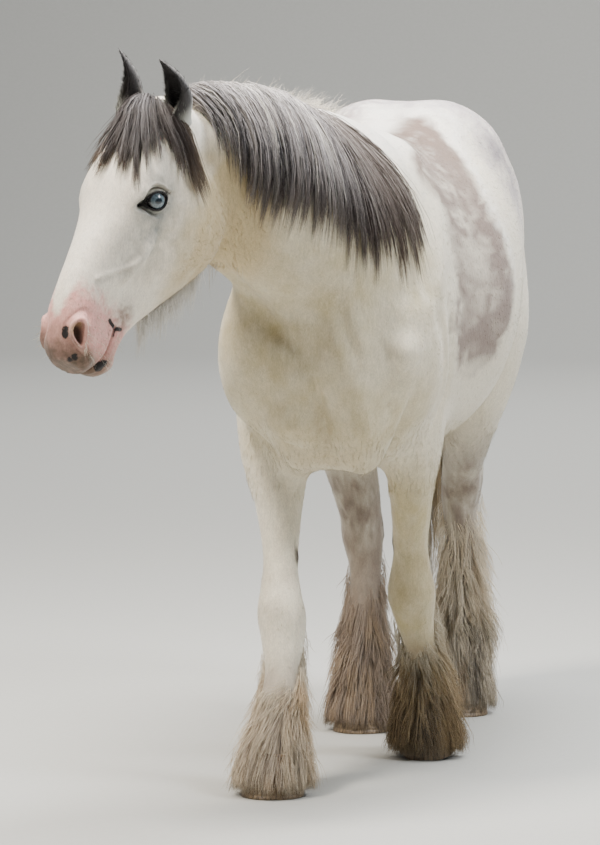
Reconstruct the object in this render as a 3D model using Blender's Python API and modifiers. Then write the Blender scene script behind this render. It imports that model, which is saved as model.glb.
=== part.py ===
"""A gypsy cob horse at life size, walking: flesh, hooves, eyes and ears, with mane,
forelock, feather, beard and tail as tapered locks. Metres, +Z up, the horse faces -Y."""

import math
import random

import bmesh
import bpy
import numpy as np
from mathutils import Matrix, Vector
from mathutils.bvhtree import BVHTree

# Driving dimensions of the horse.
WITHERS_HEIGHT = 1.375
CHEST_FLOOR = 0.655
HEAD_YAW = 30.0
HEAD_PITCH = 54.0
POLL = Vector((-0.287, -0.720, 1.430))
EYE_RADIUS = 0.0235
HOOF_HEIGHT = 0.078
HOOF_RADIUS = 0.066
GAP = 0.0003
FLAT_ANGLES = (3.0, 2.0, 1.0, 0.5, 0.0)
TRUNK_VOXEL = 0.012
VOXEL = 0.0055
TRUNK_TRIANGLES = 2480
FEET_TRIANGLES = 370
HEAD_TRIANGLES = 1440

# The same horse stands with its box's bottom centre on the origin.
ORIGIN_SHIFT = Vector((0.0790, -0.1972, 0.0))

# Head frame: a runs down the face, l to the horse's left, u out of the forehead.
TURN, DROP = math.radians(HEAD_YAW), math.radians(HEAD_PITCH)
HEAD_A = Vector((-math.sin(TURN) * math.cos(DROP), -math.cos(TURN) * math.cos(DROP), -math.sin(DROP)))
HEAD_L = Vector((math.cos(TURN), -math.sin(TURN), 0.0))
HEAD_U = HEAD_A.cross(HEAD_L)

# Torso: y, half width, top, bottom, squareness, pear (wider below when positive).
TORSO = [
    (-0.350, 0.040, 0.985, 0.890, 2.0, 0.00),
    (-0.335, 0.110, 1.060, 0.790, 2.0, 0.00),
    (-0.290, 0.172, 1.140, 0.708, 2.1, 0.00),
    (-0.220, 0.205, 1.210, 0.670, 2.2, 0.02),
    (-0.100, 0.226, 1.300, 0.655, 2.3, 0.05),
    (0.050, 0.240, WITHERS_HEIGHT, CHEST_FLOOR, 2.2, 0.12),
    (0.230, 0.268, 1.364, 0.650, 2.1, 0.13),
    (0.420, 0.296, 1.356, 0.650, 2.1, 0.10),
    (0.570, 0.300, 1.376, 0.680, 2.1, 0.05),
    (0.700, 0.285, 1.394, 0.745, 2.2, 0.00),
    (0.820, 0.270, 1.414, 0.800, 2.2, 0.00),
    (0.950, 0.255, 1.406, 0.850, 2.2, 0.02),
    (1.060, 0.222, 1.354, 0.890, 2.1, 0.05),
    (1.130, 0.165, 1.270, 0.940, 2.0, 0.05),
    (1.168, 0.080, 1.190, 1.000, 2.0, 0.00),
]
# Neck: crest point, throat point, half width, pear.
NECK = [
    (0.000, 0.110, 1.330, 0.000, -0.220, 0.800, 0.200, 0.10),
    (-0.004, -0.010, 1.378, -0.006, -0.318, 0.925, 0.188, 0.14),
    (-0.045, -0.160, 1.415, -0.040, -0.385, 1.000, 0.160, 0.20),
    (-0.105, -0.330, 1.437, -0.092, -0.445, 1.045, 0.135, 0.22),
    (-0.172, -0.495, 1.446, -0.142, -0.492, 1.085, 0.117, 0.20),
    (-0.232, -0.610, 1.436, -0.180, -0.525, 1.120, 0.106, 0.12),
    (-0.275, -0.680, 1.403, -0.215, -0.560, 1.160, 0.092, 0.05),
]
# The dock of the tail: y, z, radius.
TAIL_DOCK = [
    (1.080, 1.310, 0.030),
    (1.150, 1.298, 0.035),
    (1.205, 1.262, 0.033),
    (1.240, 1.180, 0.029),
    (1.252, 1.080, 0.024),
    (1.256, 0.980, 0.016),
]
# Face and skull in the head frame: a, half width, top u, bottom u, squareness, pear.
SKULL = [
    (-0.050, 0.045, -0.035, -0.120, 2.0, 0.00),
    (-0.020, 0.070, -0.006, -0.150, 2.0, 0.00),
    (0.040, 0.084, 0.008, -0.165, 2.2, -0.05),
    (0.110, 0.091, 0.014, -0.150, 2.4, -0.10),
    (0.180, 0.092, 0.010, -0.140, 2.5, -0.12),
    (0.245, 0.078, 0.000, -0.140, 2.4, 0.00),
    (0.320, 0.061, -0.001, -0.140, 2.3, 0.08),
    (0.400, 0.052, -0.004, -0.135, 2.2, 0.10),
    (0.460, 0.054, -0.016, -0.132, 2.2, 0.08),
    (0.505, 0.057, -0.037, -0.140, 2.3, 0.00),
    (0.532, 0.050, -0.058, -0.146, 2.3, 0.00),
    (0.549, 0.034, -0.082, -0.138, 2.1, 0.00),
]
# Lower jaw and cheeks: the same columns.
JAW = [
    (0.000, 0.030, -0.100, -0.198, 2.0, 0.00),
    (0.040, 0.066, -0.070, -0.270, 2.2, 0.00),
    (0.095, 0.084, -0.050, -0.314, 2.3, 0.02),
    (0.160, 0.086, -0.050, -0.322, 2.3, 0.00),
    (0.235, 0.074, -0.055, -0.296, 2.2, -0.08),
    (0.320, 0.054, -0.070, -0.252, 2.1, -0.12),
    (0.400, 0.044, -0.090, -0.212, 2.1, -0.10),
    (0.450, 0.042, -0.110, -0.200, 2.1, 0.00),
    (0.495, 0.041, -0.120, -0.202, 2.1, 0.05),
    (0.518, 0.031, -0.130, -0.194, 2.0, 0.00),
    (0.530, 0.018, -0.140, -0.176, 2.0, 0.00),
]
# Legs run down their joints: x, y, z, half width, depth ahead, depth behind.
FORE_LEG_RIGHT = [
    (-0.148, 0.010, 0.960, 0.030, 0.060, 0.060),
    (-0.158, -0.010, 0.880, 0.062, 0.105, 0.120),
    (-0.156, -0.035, 0.770, 0.074, 0.108, 0.118),
    (-0.143, -0.072, 0.660, 0.070, 0.086, 0.092),
    (-0.127, -0.112, 0.560, 0.049, 0.062, 0.068),
    (-0.116, -0.152, 0.460, 0.038, 0.046, 0.048),
    (-0.110, -0.178, 0.405, 0.044, 0.048, 0.048),
    (-0.104, -0.200, 0.352, 0.053, 0.054, 0.052),
    (-0.098, -0.222, 0.298, 0.046, 0.042, 0.048),
    (-0.096, -0.250, 0.235, 0.036, 0.034, 0.042),
    (-0.097, -0.275, 0.158, 0.046, 0.042, 0.052),
    (-0.096, -0.302, 0.112, 0.043, 0.041, 0.043),
    (-0.094, -0.332, 0.072, 0.050, 0.048, 0.048),
    (-0.093, -0.350, 0.035, 0.050, 0.048, 0.048),
]
FORE_LEG_LEFT = [
    (0.146, 0.050, 0.960, 0.030, 0.060, 0.060),
    (0.155, 0.035, 0.880, 0.060, 0.105, 0.120),
    (0.147, 0.040, 0.770, 0.064, 0.106, 0.116),
    (0.133, 0.070, 0.660, 0.058, 0.086, 0.092),
    (0.124, 0.105, 0.560, 0.045, 0.062, 0.068),
    (0.118, 0.136, 0.470, 0.038, 0.046, 0.048),
    (0.115, 0.150, 0.420, 0.044, 0.050, 0.048),
    (0.115, 0.163, 0.368, 0.053, 0.058, 0.050),
    (0.118, 0.184, 0.312, 0.044, 0.042, 0.046),
    (0.126, 0.216, 0.248, 0.036, 0.034, 0.042),
    (0.132, 0.248, 0.186, 0.046, 0.044, 0.050),
    (0.135, 0.248, 0.140, 0.043, 0.041, 0.043),
    (0.137, 0.237, 0.104, 0.050, 0.048, 0.048),
    (0.138, 0.222, 0.070, 0.050, 0.048, 0.048),
]
HIND_LEG_RIGHT = [
    (-0.120, 0.850, 1.220, 0.040, 0.080, 0.080),
    (-0.150, 0.845, 1.120, 0.095, 0.190, 0.170),
    (-0.165, 0.800, 0.980, 0.104, 0.185, 0.215),
    (-0.165, 0.750, 0.860, 0.098, 0.155, 0.190),
    (-0.150, 0.738, 0.750, 0.084, 0.118, 0.132),
    (-0.130, 0.755, 0.640, 0.066, 0.080, 0.086),
    (-0.113, 0.790, 0.540, 0.056, 0.062, 0.066),
    (-0.104, 0.815, 0.470, 0.049, 0.056, 0.070),
    (-0.099, 0.820, 0.410, 0.048, 0.054, 0.062),
    (-0.089, 0.795, 0.340, 0.037, 0.041, 0.046),
    (-0.086, 0.757, 0.250, 0.037, 0.038, 0.042),
    (-0.080, 0.717, 0.165, 0.046, 0.043, 0.052),
    (-0.076, 0.687, 0.115, 0.043, 0.041, 0.043),
    (-0.073, 0.662, 0.072, 0.049, 0.048, 0.047),
    (-0.071, 0.645, 0.035, 0.049, 0.048, 0.047),
]
HIND_LEG_LEFT = [
    (0.120, 0.890, 1.220, 0.040, 0.080, 0.080),
    (0.150, 0.895, 1.120, 0.095, 0.190, 0.170),
    (0.165, 0.890, 0.980, 0.104, 0.190, 0.215),
    (0.168, 0.878, 0.860, 0.098, 0.180, 0.200),
    (0.155, 0.905, 0.770, 0.085, 0.150, 0.140),
    (0.126, 0.975, 0.670, 0.064, 0.092, 0.088),
    (0.101, 1.052, 0.580, 0.051, 0.062, 0.062),
    (0.091, 1.092, 0.515, 0.050, 0.056, 0.070),
    (0.086, 1.098, 0.455, 0.041, 0.052, 0.060),
    (0.092, 1.080, 0.370, 0.035, 0.041, 0.046),
    (0.100, 1.053, 0.260, 0.036, 0.037, 0.042),
    (0.106, 1.028, 0.170, 0.046, 0.043, 0.052),
    (0.107, 1.000, 0.118, 0.043, 0.041, 0.043),
    (0.108, 0.975, 0.074, 0.049, 0.048, 0.047),
    (0.109, 0.958, 0.036, 0.049, 0.048, 0.047),
]


def head_point(a, l, u):
    """A point given down the face, to the left and out of the forehead."""
    return POLL + HEAD_A * a + HEAD_L * l + HEAD_U * u


def smooth_rows(rows, steps):
    """Catmull-Rom rows between the given ones."""
    table = np.array(rows, float)
    padded = np.vstack([2 * table[0] - table[1], table, 2 * table[-1] - table[-2]])
    found = []
    for i in range(len(table) - 1):
        p0, p1, p2, p3 = padded[i : i + 4]
        for k in range(steps):
            t = k / steps
            found.append(
                0.5 * (2 * p1 + (p2 - p0) * t + (2 * p0 - 5 * p1 + 4 * p2 - p3) * t * t
                       + (3 * p1 - p0 - 3 * p2 + p3) * t ** 3)
            )
    found.append(table[-1])
    return found


def section(centre, side, up, width, above, below, power=2.0, pear=0.0, sides=40):
    """One closed outline: an ellipse made squarer by power, and wider below by pear."""
    points = []
    for i in range(sides):
        angle = 2 * math.pi * i / sides
        c, s = math.cos(angle), math.sin(angle)
        x = math.copysign(abs(c) ** (2 / power), c) * width * (1 - pear * s)
        y = math.copysign(abs(s) ** (2 / power), s) * (above if s > 0 else below)
        points.append(centre + side * x + up * y)
    return points


def loft(name, sections):
    """A closed skin over a row of outlines with the same number of points."""
    mesh = bpy.data.meshes.new(name)
    bm = bmesh.new()
    rings = [[bm.verts.new(p) for p in ring] for ring in sections]
    for lower, upper in zip(rings, rings[1:]):
        for i in range(len(lower)):
            j = (i + 1) % len(lower)
            bm.faces.new((lower[i], lower[j], upper[j], upper[i]))
    bm.faces.new(rings[0][::-1])
    bm.faces.new(rings[-1])
    bmesh.ops.recalc_face_normals(bm, faces=bm.faces)
    bm.to_mesh(mesh)
    bm.free()
    return mesh


def torso_form():
    rings = []
    for y, width, top, bottom, power, pear in smooth_rows(TORSO, 5):
        middle = (top + bottom) / 2
        rings.append(section(Vector((0, y, middle)), Vector((1, 0, 0)), Vector((0, 0, 1)),
                             width, top - middle, middle - bottom, power, pear))
    return loft("torso form", rings)


def neck_form():
    rings = []
    for row in smooth_rows(NECK, 5):
        crest, throat = Vector(row[0:3]), Vector(row[3:6])
        up = (crest - throat).normalized()
        forward = Vector((math.sin(-TURN * 0.6), -1, 0)).normalized()
        side = up.cross(forward).normalized()
        half = (crest - throat).length / 2
        rings.append(section((crest + throat) / 2, side, up, row[6], half, half, 2.1, row[7]))
    return loft("neck form", rings)


def head_form(name, rows):
    rings = []
    for a, width, top, bottom, power, pear in smooth_rows(rows, 5):
        middle = (top + bottom) / 2
        rings.append(section(head_point(a, 0, middle), HEAD_L, HEAD_U,
                             width, top - middle, middle - bottom, power, pear))
    return loft(name, rings)


def leg_form(name, rows):
    rings = []
    table = smooth_rows(rows, 5)
    for i, row in enumerate(table):
        before, after = table[max(i - 1, 0)], table[min(i + 1, len(table) - 1)]
        run = Vector(after[:3]) - Vector(before[:3])
        side = Vector((1, 0, 0))
        ahead = run.cross(side).normalized()
        if ahead.y > 0:
            ahead.negate()
        rings.append(section(Vector(row[:3]), side, ahead, row[3], row[4], row[5], 2.15, 0.0, 20))
    return loft(name, rings)


def oval(start, end, thick, wide, face=Vector((1, 0, 0))):
    """An ellipsoid from start to end, thick along face and wide across it."""
    start, end, face = Vector(start), Vector(end), Vector(face)
    axis = end - start
    length = axis.length / 2
    axis.normalize()
    across = axis.cross(face).normalized()
    out = across.cross(axis).normalized()
    turn = Matrix((out, across, axis)).transposed().to_4x4()
    place = Matrix.Translation((start + end) / 2) @ turn @ Matrix.Diagonal((thick, wide, length, 1))
    mesh = bpy.data.meshes.new("oval")
    bm = bmesh.new()
    bmesh.ops.create_icosphere(bm, subdivisions=3, radius=1.0, matrix=place)
    bm.to_mesh(mesh)
    bm.free()
    return mesh


def body_muscles():
    """The masses that stand out of the torso: shoulders, breast, croup, thighs, buttocks."""
    masses = []
    for s in (-1, 1):
        fore, hind = (-0.03, -0.06) if s < 0 else (0.03, 0.04)
        out = (s, 0, 0)
        masses += [
            # Shoulder blade, point of the shoulder, upper arm and the mass behind it.
            oval((s * 0.100, 0.16, 1.33), (s * 0.165, -0.27 + fore, 0.92), 0.074, 0.150, (s, 0, 0.3)),
            oval((s * 0.142, -0.325 + fore, 1.04), (s * 0.150, -0.10 + fore, 0.76), 0.086, 0.125, out),
            oval((s * 0.150, 0.20 + fore, 1.16), (s * 0.142, 0.02 + fore, 0.70), 0.080, 0.150, out),
            # Breast.
            oval((s * 0.052, -0.365, 1.06), (s * 0.064, -0.15, 0.650), 0.084, 0.115, out),
            # Croup, hip, thigh and buttock.
            oval((s * 0.088, 0.52, 1.300), (s * 0.098, 1.10, 1.280), 0.122, 0.150, (s, 0, 1.2)),
            oval((s * 0.150, 0.58, 1.30), (s * 0.165, 0.90 + hind, 0.78), 0.112, 0.165, out),
            oval((s * 0.110, 1.04, 1.30), (s * 0.145, 0.99 + hind, 0.72), 0.110, 0.135, out),
        ]
    return masses


def head_masses():
    """Brow, cheek, cheekbone, nostril wing, lips and chin, in the head frame."""
    masses = []

    def mass(start, end, thick, wide, face):
        masses.append(oval(head_point(*start), head_point(*end), thick, wide, face))

    for s in (-1, 1):
        out = HEAD_L * s
        mass((0.125, s * 0.066, -0.026), (0.240, s * 0.062, -0.034), 0.026, 0.024, out)
        mass((0.050, s * 0.066, -0.125), (0.235, s * 0.065, -0.225), 0.027, 0.086, out)
        mass((0.205, s * 0.074, -0.098), (0.365, s * 0.050, -0.098), 0.014, 0.016, out)
        mass((0.462, s * 0.040, -0.048), (0.526, s * 0.037, -0.092), 0.021, 0.027, out)
        mass((0.440, s * 0.030, -0.128), (0.550, s * 0.018, -0.118), 0.026, 0.024, out)
        mass((0.000, s * 0.050, -0.040), (0.060, s * 0.062, -0.050), 0.026, 0.030, out)
    mass((0.450, 0, -0.168), (0.534, 0, -0.166), 0.036, 0.022, HEAD_L)
    mass((0.455, 0, -0.196), (0.512, 0, -0.192), 0.027, 0.018, HEAD_L)
    return masses


LEGS = {
    "foreleg_right": FORE_LEG_RIGHT,
    "foreleg_left": FORE_LEG_LEFT,
    "hindleg_right": HIND_LEG_RIGHT,
    "hindleg_left": HIND_LEG_LEFT,
}
THIGH_ROWS = 7


def tail_dock_form():
    """The fleshy root of the tail, which the long hair grows from."""
    rings = []
    for y, z, radius in smooth_rows(TAIL_DOCK, 4):
        rings.append(section(Vector((0, y, z)), Vector((1, 0, 0)), Vector((0, 1, 0.3)).normalized(),
                             radius, radius, radius, 2.0, 0.0, 20))
    return loft("dock form", rings)


def flesh_mesh(voxel):
    """The whole flesh as one closed skin: the trunk is smoothed first, broadly, then all of it."""
    trunk_forms = [torso_form(), neck_form()] + body_muscles()
    trunk_forms += [leg_form("thigh form", rows[:THIGH_ROWS]) for rows in LEGS.values()]
    trunk = fused("trunk", trunk_forms, TRUNK_VOXEL)
    fill_creases(trunk, 60, 0.5, 0.12)
    forms = [trunk, head_form("skull form", SKULL), head_form("jaw form", JAW), tail_dock_form()]
    forms += head_masses()
    forms += [leg_form("leg form", rows) for rows in LEGS.values()]
    flesh = fused("flesh", forms, voxel)
    fill_creases(flesh, 30, 0.5, 0.05)
    return flesh


def joined(name, meshes):
    """One mesh that holds all the given ones."""
    mesh = bpy.data.meshes.new(name)
    bm = bmesh.new()
    for one in meshes:
        bm.from_mesh(one)
        bpy.data.meshes.remove(one)
    bm.to_mesh(mesh)
    bm.free()
    return mesh


def evaluated(obj):
    graph = bpy.context.evaluated_depsgraph_get()
    return bpy.data.meshes.new_from_object(obj.evaluated_get(graph))


def fused(name, meshes, voxel):
    """The forms made one skin by a voxel remesh."""
    obj = bpy.data.objects.new(name, joined(name, meshes))
    bpy.context.scene.collection.objects.link(obj)
    remesh = obj.modifiers.new("fuse", "REMESH")
    remesh.mode = "VOXEL"
    remesh.voxel_size = voxel
    mesh = evaluated(obj)
    bpy.data.objects.remove(obj)
    return mesh


def fill_creases(mesh, rounds, outward, inward):
    """Smooths each point towards its neighbours, filling creases more than it wears ridges."""
    count = len(mesh.vertices)
    points = np.empty(count * 3)
    mesh.vertices.foreach_get("co", points)
    points = points.reshape(-1, 3)
    edges = np.empty(len(mesh.edges) * 2, int)
    mesh.edges.foreach_get("vertices", edges)
    edges = edges.reshape(-1, 2)
    degree = np.bincount(edges.ravel(), minlength=count)[:, None]
    for _ in range(rounds):
        mesh.vertices.foreach_set("co", points.ravel())
        mesh.update()
        normals = np.empty(count * 3)
        mesh.vertex_normals.foreach_get("vector", normals)
        normals = normals.reshape(-1, 3)
        total = np.zeros_like(points)
        for axis in range(3):
            total[:, axis] = (np.bincount(edges[:, 0], points[edges[:, 1], axis], count)
                              + np.bincount(edges[:, 1], points[edges[:, 0], axis], count))
        step = total / degree - points
        rise = (step * normals).sum(1)
        points = points + step * np.where(rise > 0, outward, inward)[:, None]
    mesh.vertices.foreach_set("co", points.ravel())
    mesh.update()


# Hooves: ground centre x, y, heading in degrees (positive to the horse's left), tilt of the heel.
HOOVES = {
    "foreleg_right": (-0.092, -0.372, -4.0, 0.0),
    "foreleg_left": (0.1385, 0.245, 3.0, 24.0),
    "hindleg_right": (-0.069, 0.624, -5.0, 0.0),
    "hindleg_left": (0.110, 0.937, 5.0, 0.0),
}
TOE_FLAT_DEPTH = 0.004
CORONET_BACK = 0.026
CORONET_RISE = 0.24
# Levels of the hoof wall, as shares: height, width, length, how far back.
HOOF_LEVELS = (
    (0.000, 1.000, 1.080, 0.00),
    (0.012, 0.985, 1.065, 0.05),
    (0.500, 0.880, 0.940, 0.50),
    (1.000, 0.775, 0.790, 1.00),
)


def hoof_place(leg):
    """The hoof's own frame: y ahead to the toe, z up; a raised heel turns about the toe."""
    x, y, heading, tilt = HOOVES[leg]
    turn = Matrix.Rotation(math.radians(heading + 180.0), 4, "Z")
    toe = Matrix.Translation((0, HOOF_RADIUS * 1.08, 0))
    lift = toe @ Matrix.Rotation(math.radians(-tilt), 4, "X") @ toe.inverted()
    sink = TOE_FLAT_DEPTH if tilt else 0.0
    return Matrix.Translation((x, y, -sink)) @ turn @ lift


def hoof_mesh(leg):
    """A hoof wall that widens from the coronet to a flat sole."""
    turned = hoof_place(leg)
    rings = []
    for height, wide, long, back in HOOF_LEVELS:
        ring = []
        for i in range(24):
            angle = 2 * math.pi * i / 24
            x = math.cos(angle) * HOOF_RADIUS * wide
            y = math.sin(angle) * HOOF_RADIUS * long - CORONET_BACK * back
            z = height * (HOOF_HEIGHT + CORONET_RISE * (y + CORONET_BACK))
            ring.append(turned @ Vector((x, y, z)))
        rings.append(ring)
    hoof = loft("hoof " + leg, rings)
    if HOOVES[leg][3] == 0.0:
        return hoof
    above_floor = [Vector((x + dx, y + dy, z)) for dx in (-0.3, 0.3) for dy in (-0.3, 0.3) for z in (0.0, 0.3)
                   for x, y in [HOOVES[leg][:2]]]
    return largest_body(single(hoof, hull("above floor", above_floor), "INTERSECT"))


def hoof_wedge(leg):
    """The space below the coronet's plane, where the flesh ends just above the hoof."""
    place = hoof_place(leg)
    corners = []
    for x in (-0.12, 0.12):
        for y in (-0.14, 0.12):
            top = HOOF_HEIGHT + CORONET_RISE * (y + CORONET_BACK) + GAP
            corners += [place @ Vector((x, y, top)), place @ Vector((x, y, -0.06))]
    return hull("wedge", corners)


def hull(name, corners, grow=0.0):
    """The convex body round the given corners, grown by moving each face out."""
    bm = bmesh.new()
    for corner in corners:
        bm.verts.new(corner)
    bmesh.ops.convex_hull(bm, input=bm.verts)
    inner = [vert for vert in bm.verts if not vert.link_faces]
    bmesh.ops.delete(bm, geom=inner, context="VERTS")
    bmesh.ops.recalc_face_normals(bm, faces=bm.faces)
    moved = {}
    for vert in bm.verts:
        normals = np.array([face.normal for face in vert.link_faces])
        shift = np.linalg.lstsq(normals, np.full(len(normals), grow), rcond=None)[0]
        moved[vert] = vert.co + Vector(shift)
    for vert, place in moved.items():
        vert.co = place
    mesh = bpy.data.meshes.new(name)
    bm.to_mesh(mesh)
    bm.free()
    return mesh


def largest_body(mesh, angles=FLAT_ANGLES):
    """Keeps only the largest closed surface of a mesh."""
    bm = bmesh.new()
    bm.from_mesh(mesh)
    left = set(bm.faces)
    bodies = []
    while left:
        stack = [left.pop()]
        body = set(stack)
        while stack:
            face = stack.pop()
            for edge in face.edges:
                for other in edge.link_faces:
                    if other in left:
                        left.discard(other)
                        body.add(other)
                        stack.append(other)
        bodies.append(body)
    bodies.sort(key=lambda body: sum(face.calc_area() for face in body))
    loose = [face for body in bodies[:-1] for face in body]
    bmesh.ops.delete(bm, geom=loose, context="FACES")
    for angle in angles:
        trial = bm.copy()
        if angle:
            limit = math.radians(angle)
            bmesh.ops.dissolve_limit(trial, angle_limit=limit, verts=trial.verts, edges=trial.edges)
        bmesh.ops.triangulate(trial, faces=trial.faces)
        closed = all(len(edge.link_faces) == 2 for edge in trial.edges)
        if closed:
            trial.to_mesh(mesh)
        trial.free()
        if closed:
            break
    bm.free()
    return mesh


def combined(mesh, others, operation, solver="EXACT"):
    """One Boolean of a mesh with a list of others; the inputs are removed."""
    base = bpy.data.objects.new("base", mesh)
    bpy.context.scene.collection.objects.link(base)
    group = bpy.data.collections.new("tools")
    bpy.context.scene.collection.children.link(group)
    tools = [bpy.data.objects.new("tool", other) for other in others]
    for tool in tools:
        group.objects.link(tool)
    cut = base.modifiers.new("cut", "BOOLEAN")
    cut.operation = operation
    cut.solver = solver
    cut.operand_type = "COLLECTION"
    cut.collection = group
    result = evaluated(base)
    for obj in [base] + tools:
        bpy.data.objects.remove(obj)
    bpy.data.collections.remove(group)
    return result


def single(mesh, other, operation, solver="EXACT"):
    """One Boolean of a mesh with one other."""
    base = bpy.data.objects.new("base", mesh)
    tool = bpy.data.objects.new("tool", other)
    for obj in (base, tool):
        bpy.context.scene.collection.objects.link(obj)
    cut = base.modifiers.new("cut", "BOOLEAN")
    cut.operation = operation
    cut.solver = solver
    cut.object = tool
    result = evaluated(base)
    for obj in (base, tool):
        bpy.data.objects.remove(obj)
    return result


def thinned(mesh, chosen, triangles):
    """The mesh with the part that chosen picks thinned to that many triangles, the rest as it is."""
    obj = bpy.data.objects.new("thin", mesh)
    bpy.context.scene.collection.objects.link(obj)
    group = obj.vertex_groups.new(name="thin")
    picked = [vert.index for vert in mesh.vertices if chosen(vert.co)]
    group.add(picked, 1.0, "REPLACE")
    inside = set(picked)
    total, kept = 0, 0
    for face in mesh.polygons:
        share = len(face.vertices) - 2
        total += share
        if not inside.issuperset(face.vertices):
            kept += share
    thin = obj.modifiers.new("thin", "DECIMATE")
    thin.ratio = (kept + triangles) / total
    thin.vertex_group = group.name
    result = evaluated(obj)
    bpy.data.objects.remove(obj)
    return result


def in_head(point):
    return (point - head_point(0.27, 0, -0.11)).length < 0.335


def in_foot(point):
    return point.z < 0.20


def thinned_flesh():
    """The flesh in few triangles: the trunk coarsest, then the feet, and the head finest."""
    flesh = flesh_mesh(VOXEL)
    flesh = thinned(flesh, lambda p: not in_head(p) and not in_foot(p), TRUNK_TRIANGLES)
    flesh = thinned(flesh, in_foot, FEET_TRIANGLES)
    return thinned(flesh, in_head, HEAD_TRIANGLES)


# Where the flesh is parted: the corners of the convex space that each node's flesh fills.
def mirrored_sides(y_z_corners, half_width):
    return [Vector((x, y, z)) for x in (-half_width, half_width) for y, z in y_z_corners]


def head_space():
    corners = []
    for l in (-0.20, 0.20):
        for a, u in ((-0.120, 0.10), (0.150, -0.347), (0.70, -0.347), (0.70, 0.10)):
            corners.append(head_point(a, l, u))
    return corners


def neck_space():
    return mirrored_sides([(0.050, 1.50), (-0.400, 0.930), (-1.30, 0.930), (-1.30, 1.60)], 0.60)


def tail_space():
    return mirrored_sides([(1.130, 1.350), (1.192, 1.215), (1.200, 0.90), (1.40, 0.90), (1.40, 1.35)], 0.07)


# Each leg's cuts: the y range of its space, the height of its top at the inner and outer edge,
# and the height of the cut above the knee or hock.
LEG_CUTS = {
    "foreleg_right": (-1, (-0.60, 0.16), (0.632, 0.745), 0.418),
    "foreleg_left": (1, (-0.20, 0.36), (0.632, 0.745), 0.440),
    "hindleg_right": (-1, (0.56, 1.30), (0.700, 0.775), 0.570),
    "hindleg_left": (1, (0.60, 1.30), (0.700, 0.775), 0.628),
}
LEG_INNER, LEG_OUTER = 0.035, 0.300


def leg_space(leg):
    side, (y0, y1), (inner, outer), _ = LEG_CUTS[leg]
    corners = []
    for y in (y0, y1):
        for x, top in ((LEG_INNER, inner), (LEG_OUTER, outer)):
            corners += [Vector((side * x, y, top)), Vector((side * x, y, -0.2))]
    return corners


def lower_leg_space(leg):
    side, (y0, y1), _, top = LEG_CUTS[leg]
    return [Vector((x, y, z)) for x in (side * LEG_INNER * 0.5, side * 0.40)
            for y in (y0 - 0.1, y1 + 0.1) for z in (-0.2, top)]


def parted(mesh, corners):
    """The mesh inside the space and what is left, with the gap between them."""
    inside = single(mesh.copy(), hull("space", corners), "INTERSECT")
    rest = single(mesh, hull("space", corners, GAP), "DIFFERENCE")
    return largest_body(inside), largest_body(rest)


# Eye: centre in the head frame, the direction that it looks in, and the line of its corners.
EYE_PLACE = (0.181, 0.0700, -0.066)
EYE_LOOK = (0.25, 0.90, 0.28)
EYE_CORNERS = (0.76, 0.0, 0.65)
LID_THICKNESS = 0.0060
EYE_OPENING = (0.0240, 0.0142)
NOSTRIL = (0.502, 0.047, -0.061)


def side_point(place, side):
    return head_point(place[0], place[1] * side, place[2])


def side_direction(direction, side):
    a, l, u = direction
    return (HEAD_A * a + HEAD_L * l * side + HEAD_U * u).normalized()


def eye_frame(side):
    look = side_direction(EYE_LOOK, side)
    corner = side_direction(EYE_CORNERS, side)
    corner = (corner - look * corner.dot(look)).normalized()
    return side_point(EYE_PLACE, side), look, corner, look.cross(corner)


def eye_ball(side, radius):
    """A ball on the eye's centre, with its poles turned to look outwards."""
    centre, look, corner, up = eye_frame(side)
    turn = Matrix((corner, up, look)).transposed().to_4x4()
    bm = bmesh.new()
    bmesh.ops.create_uvsphere(bm, u_segments=12, v_segments=8, radius=radius,
                              matrix=Matrix.Translation(centre) @ turn)
    bmesh.ops.triangulate(bm, faces=bm.faces)
    bmesh.ops.recalc_face_normals(bm, faces=bm.faces)
    mesh = bpy.data.meshes.new("eye")
    bm.to_mesh(mesh)
    bm.free()
    return mesh


def eye_opening(side):
    """The almond between the lids, run outwards from the middle of the ball."""
    centre, look, corner, up = eye_frame(side)
    half_width, half_height = EYE_OPENING
    rings = []
    for out in (0.008, 0.060):
        ring = []
        for i in range(16):
            angle = 2 * math.pi * (i + 0.37) / 16
            x = math.cos(angle)
            y = math.sin(angle) * (1 - 0.25 * x * x)
            ring.append(centre + look * out + corner * x * half_width + up * y * half_height)
        rings.append(ring)
    return loft("opening", rings)


def nostril_hollow(side):
    place = side_point(NOSTRIL, side)
    along = side_direction((0.77, 0.10, -0.60), side)
    inwards = side_direction((-0.50, -0.85, 0.0), side)
    middle = place + inwards * 0.006
    axis_turn = Matrix((along, inwards.cross(along).normalized(), inwards)).transposed().to_4x4()
    spread = Matrix.Translation(middle) @ axis_turn @ Matrix.Diagonal((0.022, 0.009, 0.024, 1))
    bm = bmesh.new()
    bmesh.ops.create_icosphere(bm, subdivisions=2, radius=1.0, matrix=spread)
    mesh = bpy.data.meshes.new("nostril")
    bm.to_mesh(mesh)
    bm.free()
    return mesh


MOUTH_LINE = [(0.432, 0.062, -0.146), (0.470, 0.058, -0.150), (0.505, 0.048, -0.152),
              (0.535, 0.028, -0.150), (0.545, 0.000, -0.149)]
MOUTH_WIDTH = 0.0026
MOUTH_DEPTH = 0.022


def mouth_slit():
    """A wedge round the muzzle, open outwards, that draws the line between the lips."""
    line = MOUTH_LINE + [(a, -l, u) for a, l, u in MOUTH_LINE[-2::-1]]
    table = smooth_rows([list(p) for p in line], 2)
    middle = head_point(0.44, 0, -0.150)
    rings = []
    for a, l, u in table:
        outer = head_point(a, l, u)
        inner = outer + (middle - outer).normalized() * MOUTH_DEPTH
        half = HEAD_U * MOUTH_WIDTH / 2
        rings.append([outer + half, outer - half, inner - half * 0.3, inner + half * 0.3])
    return loft("mouth", rings)


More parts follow.
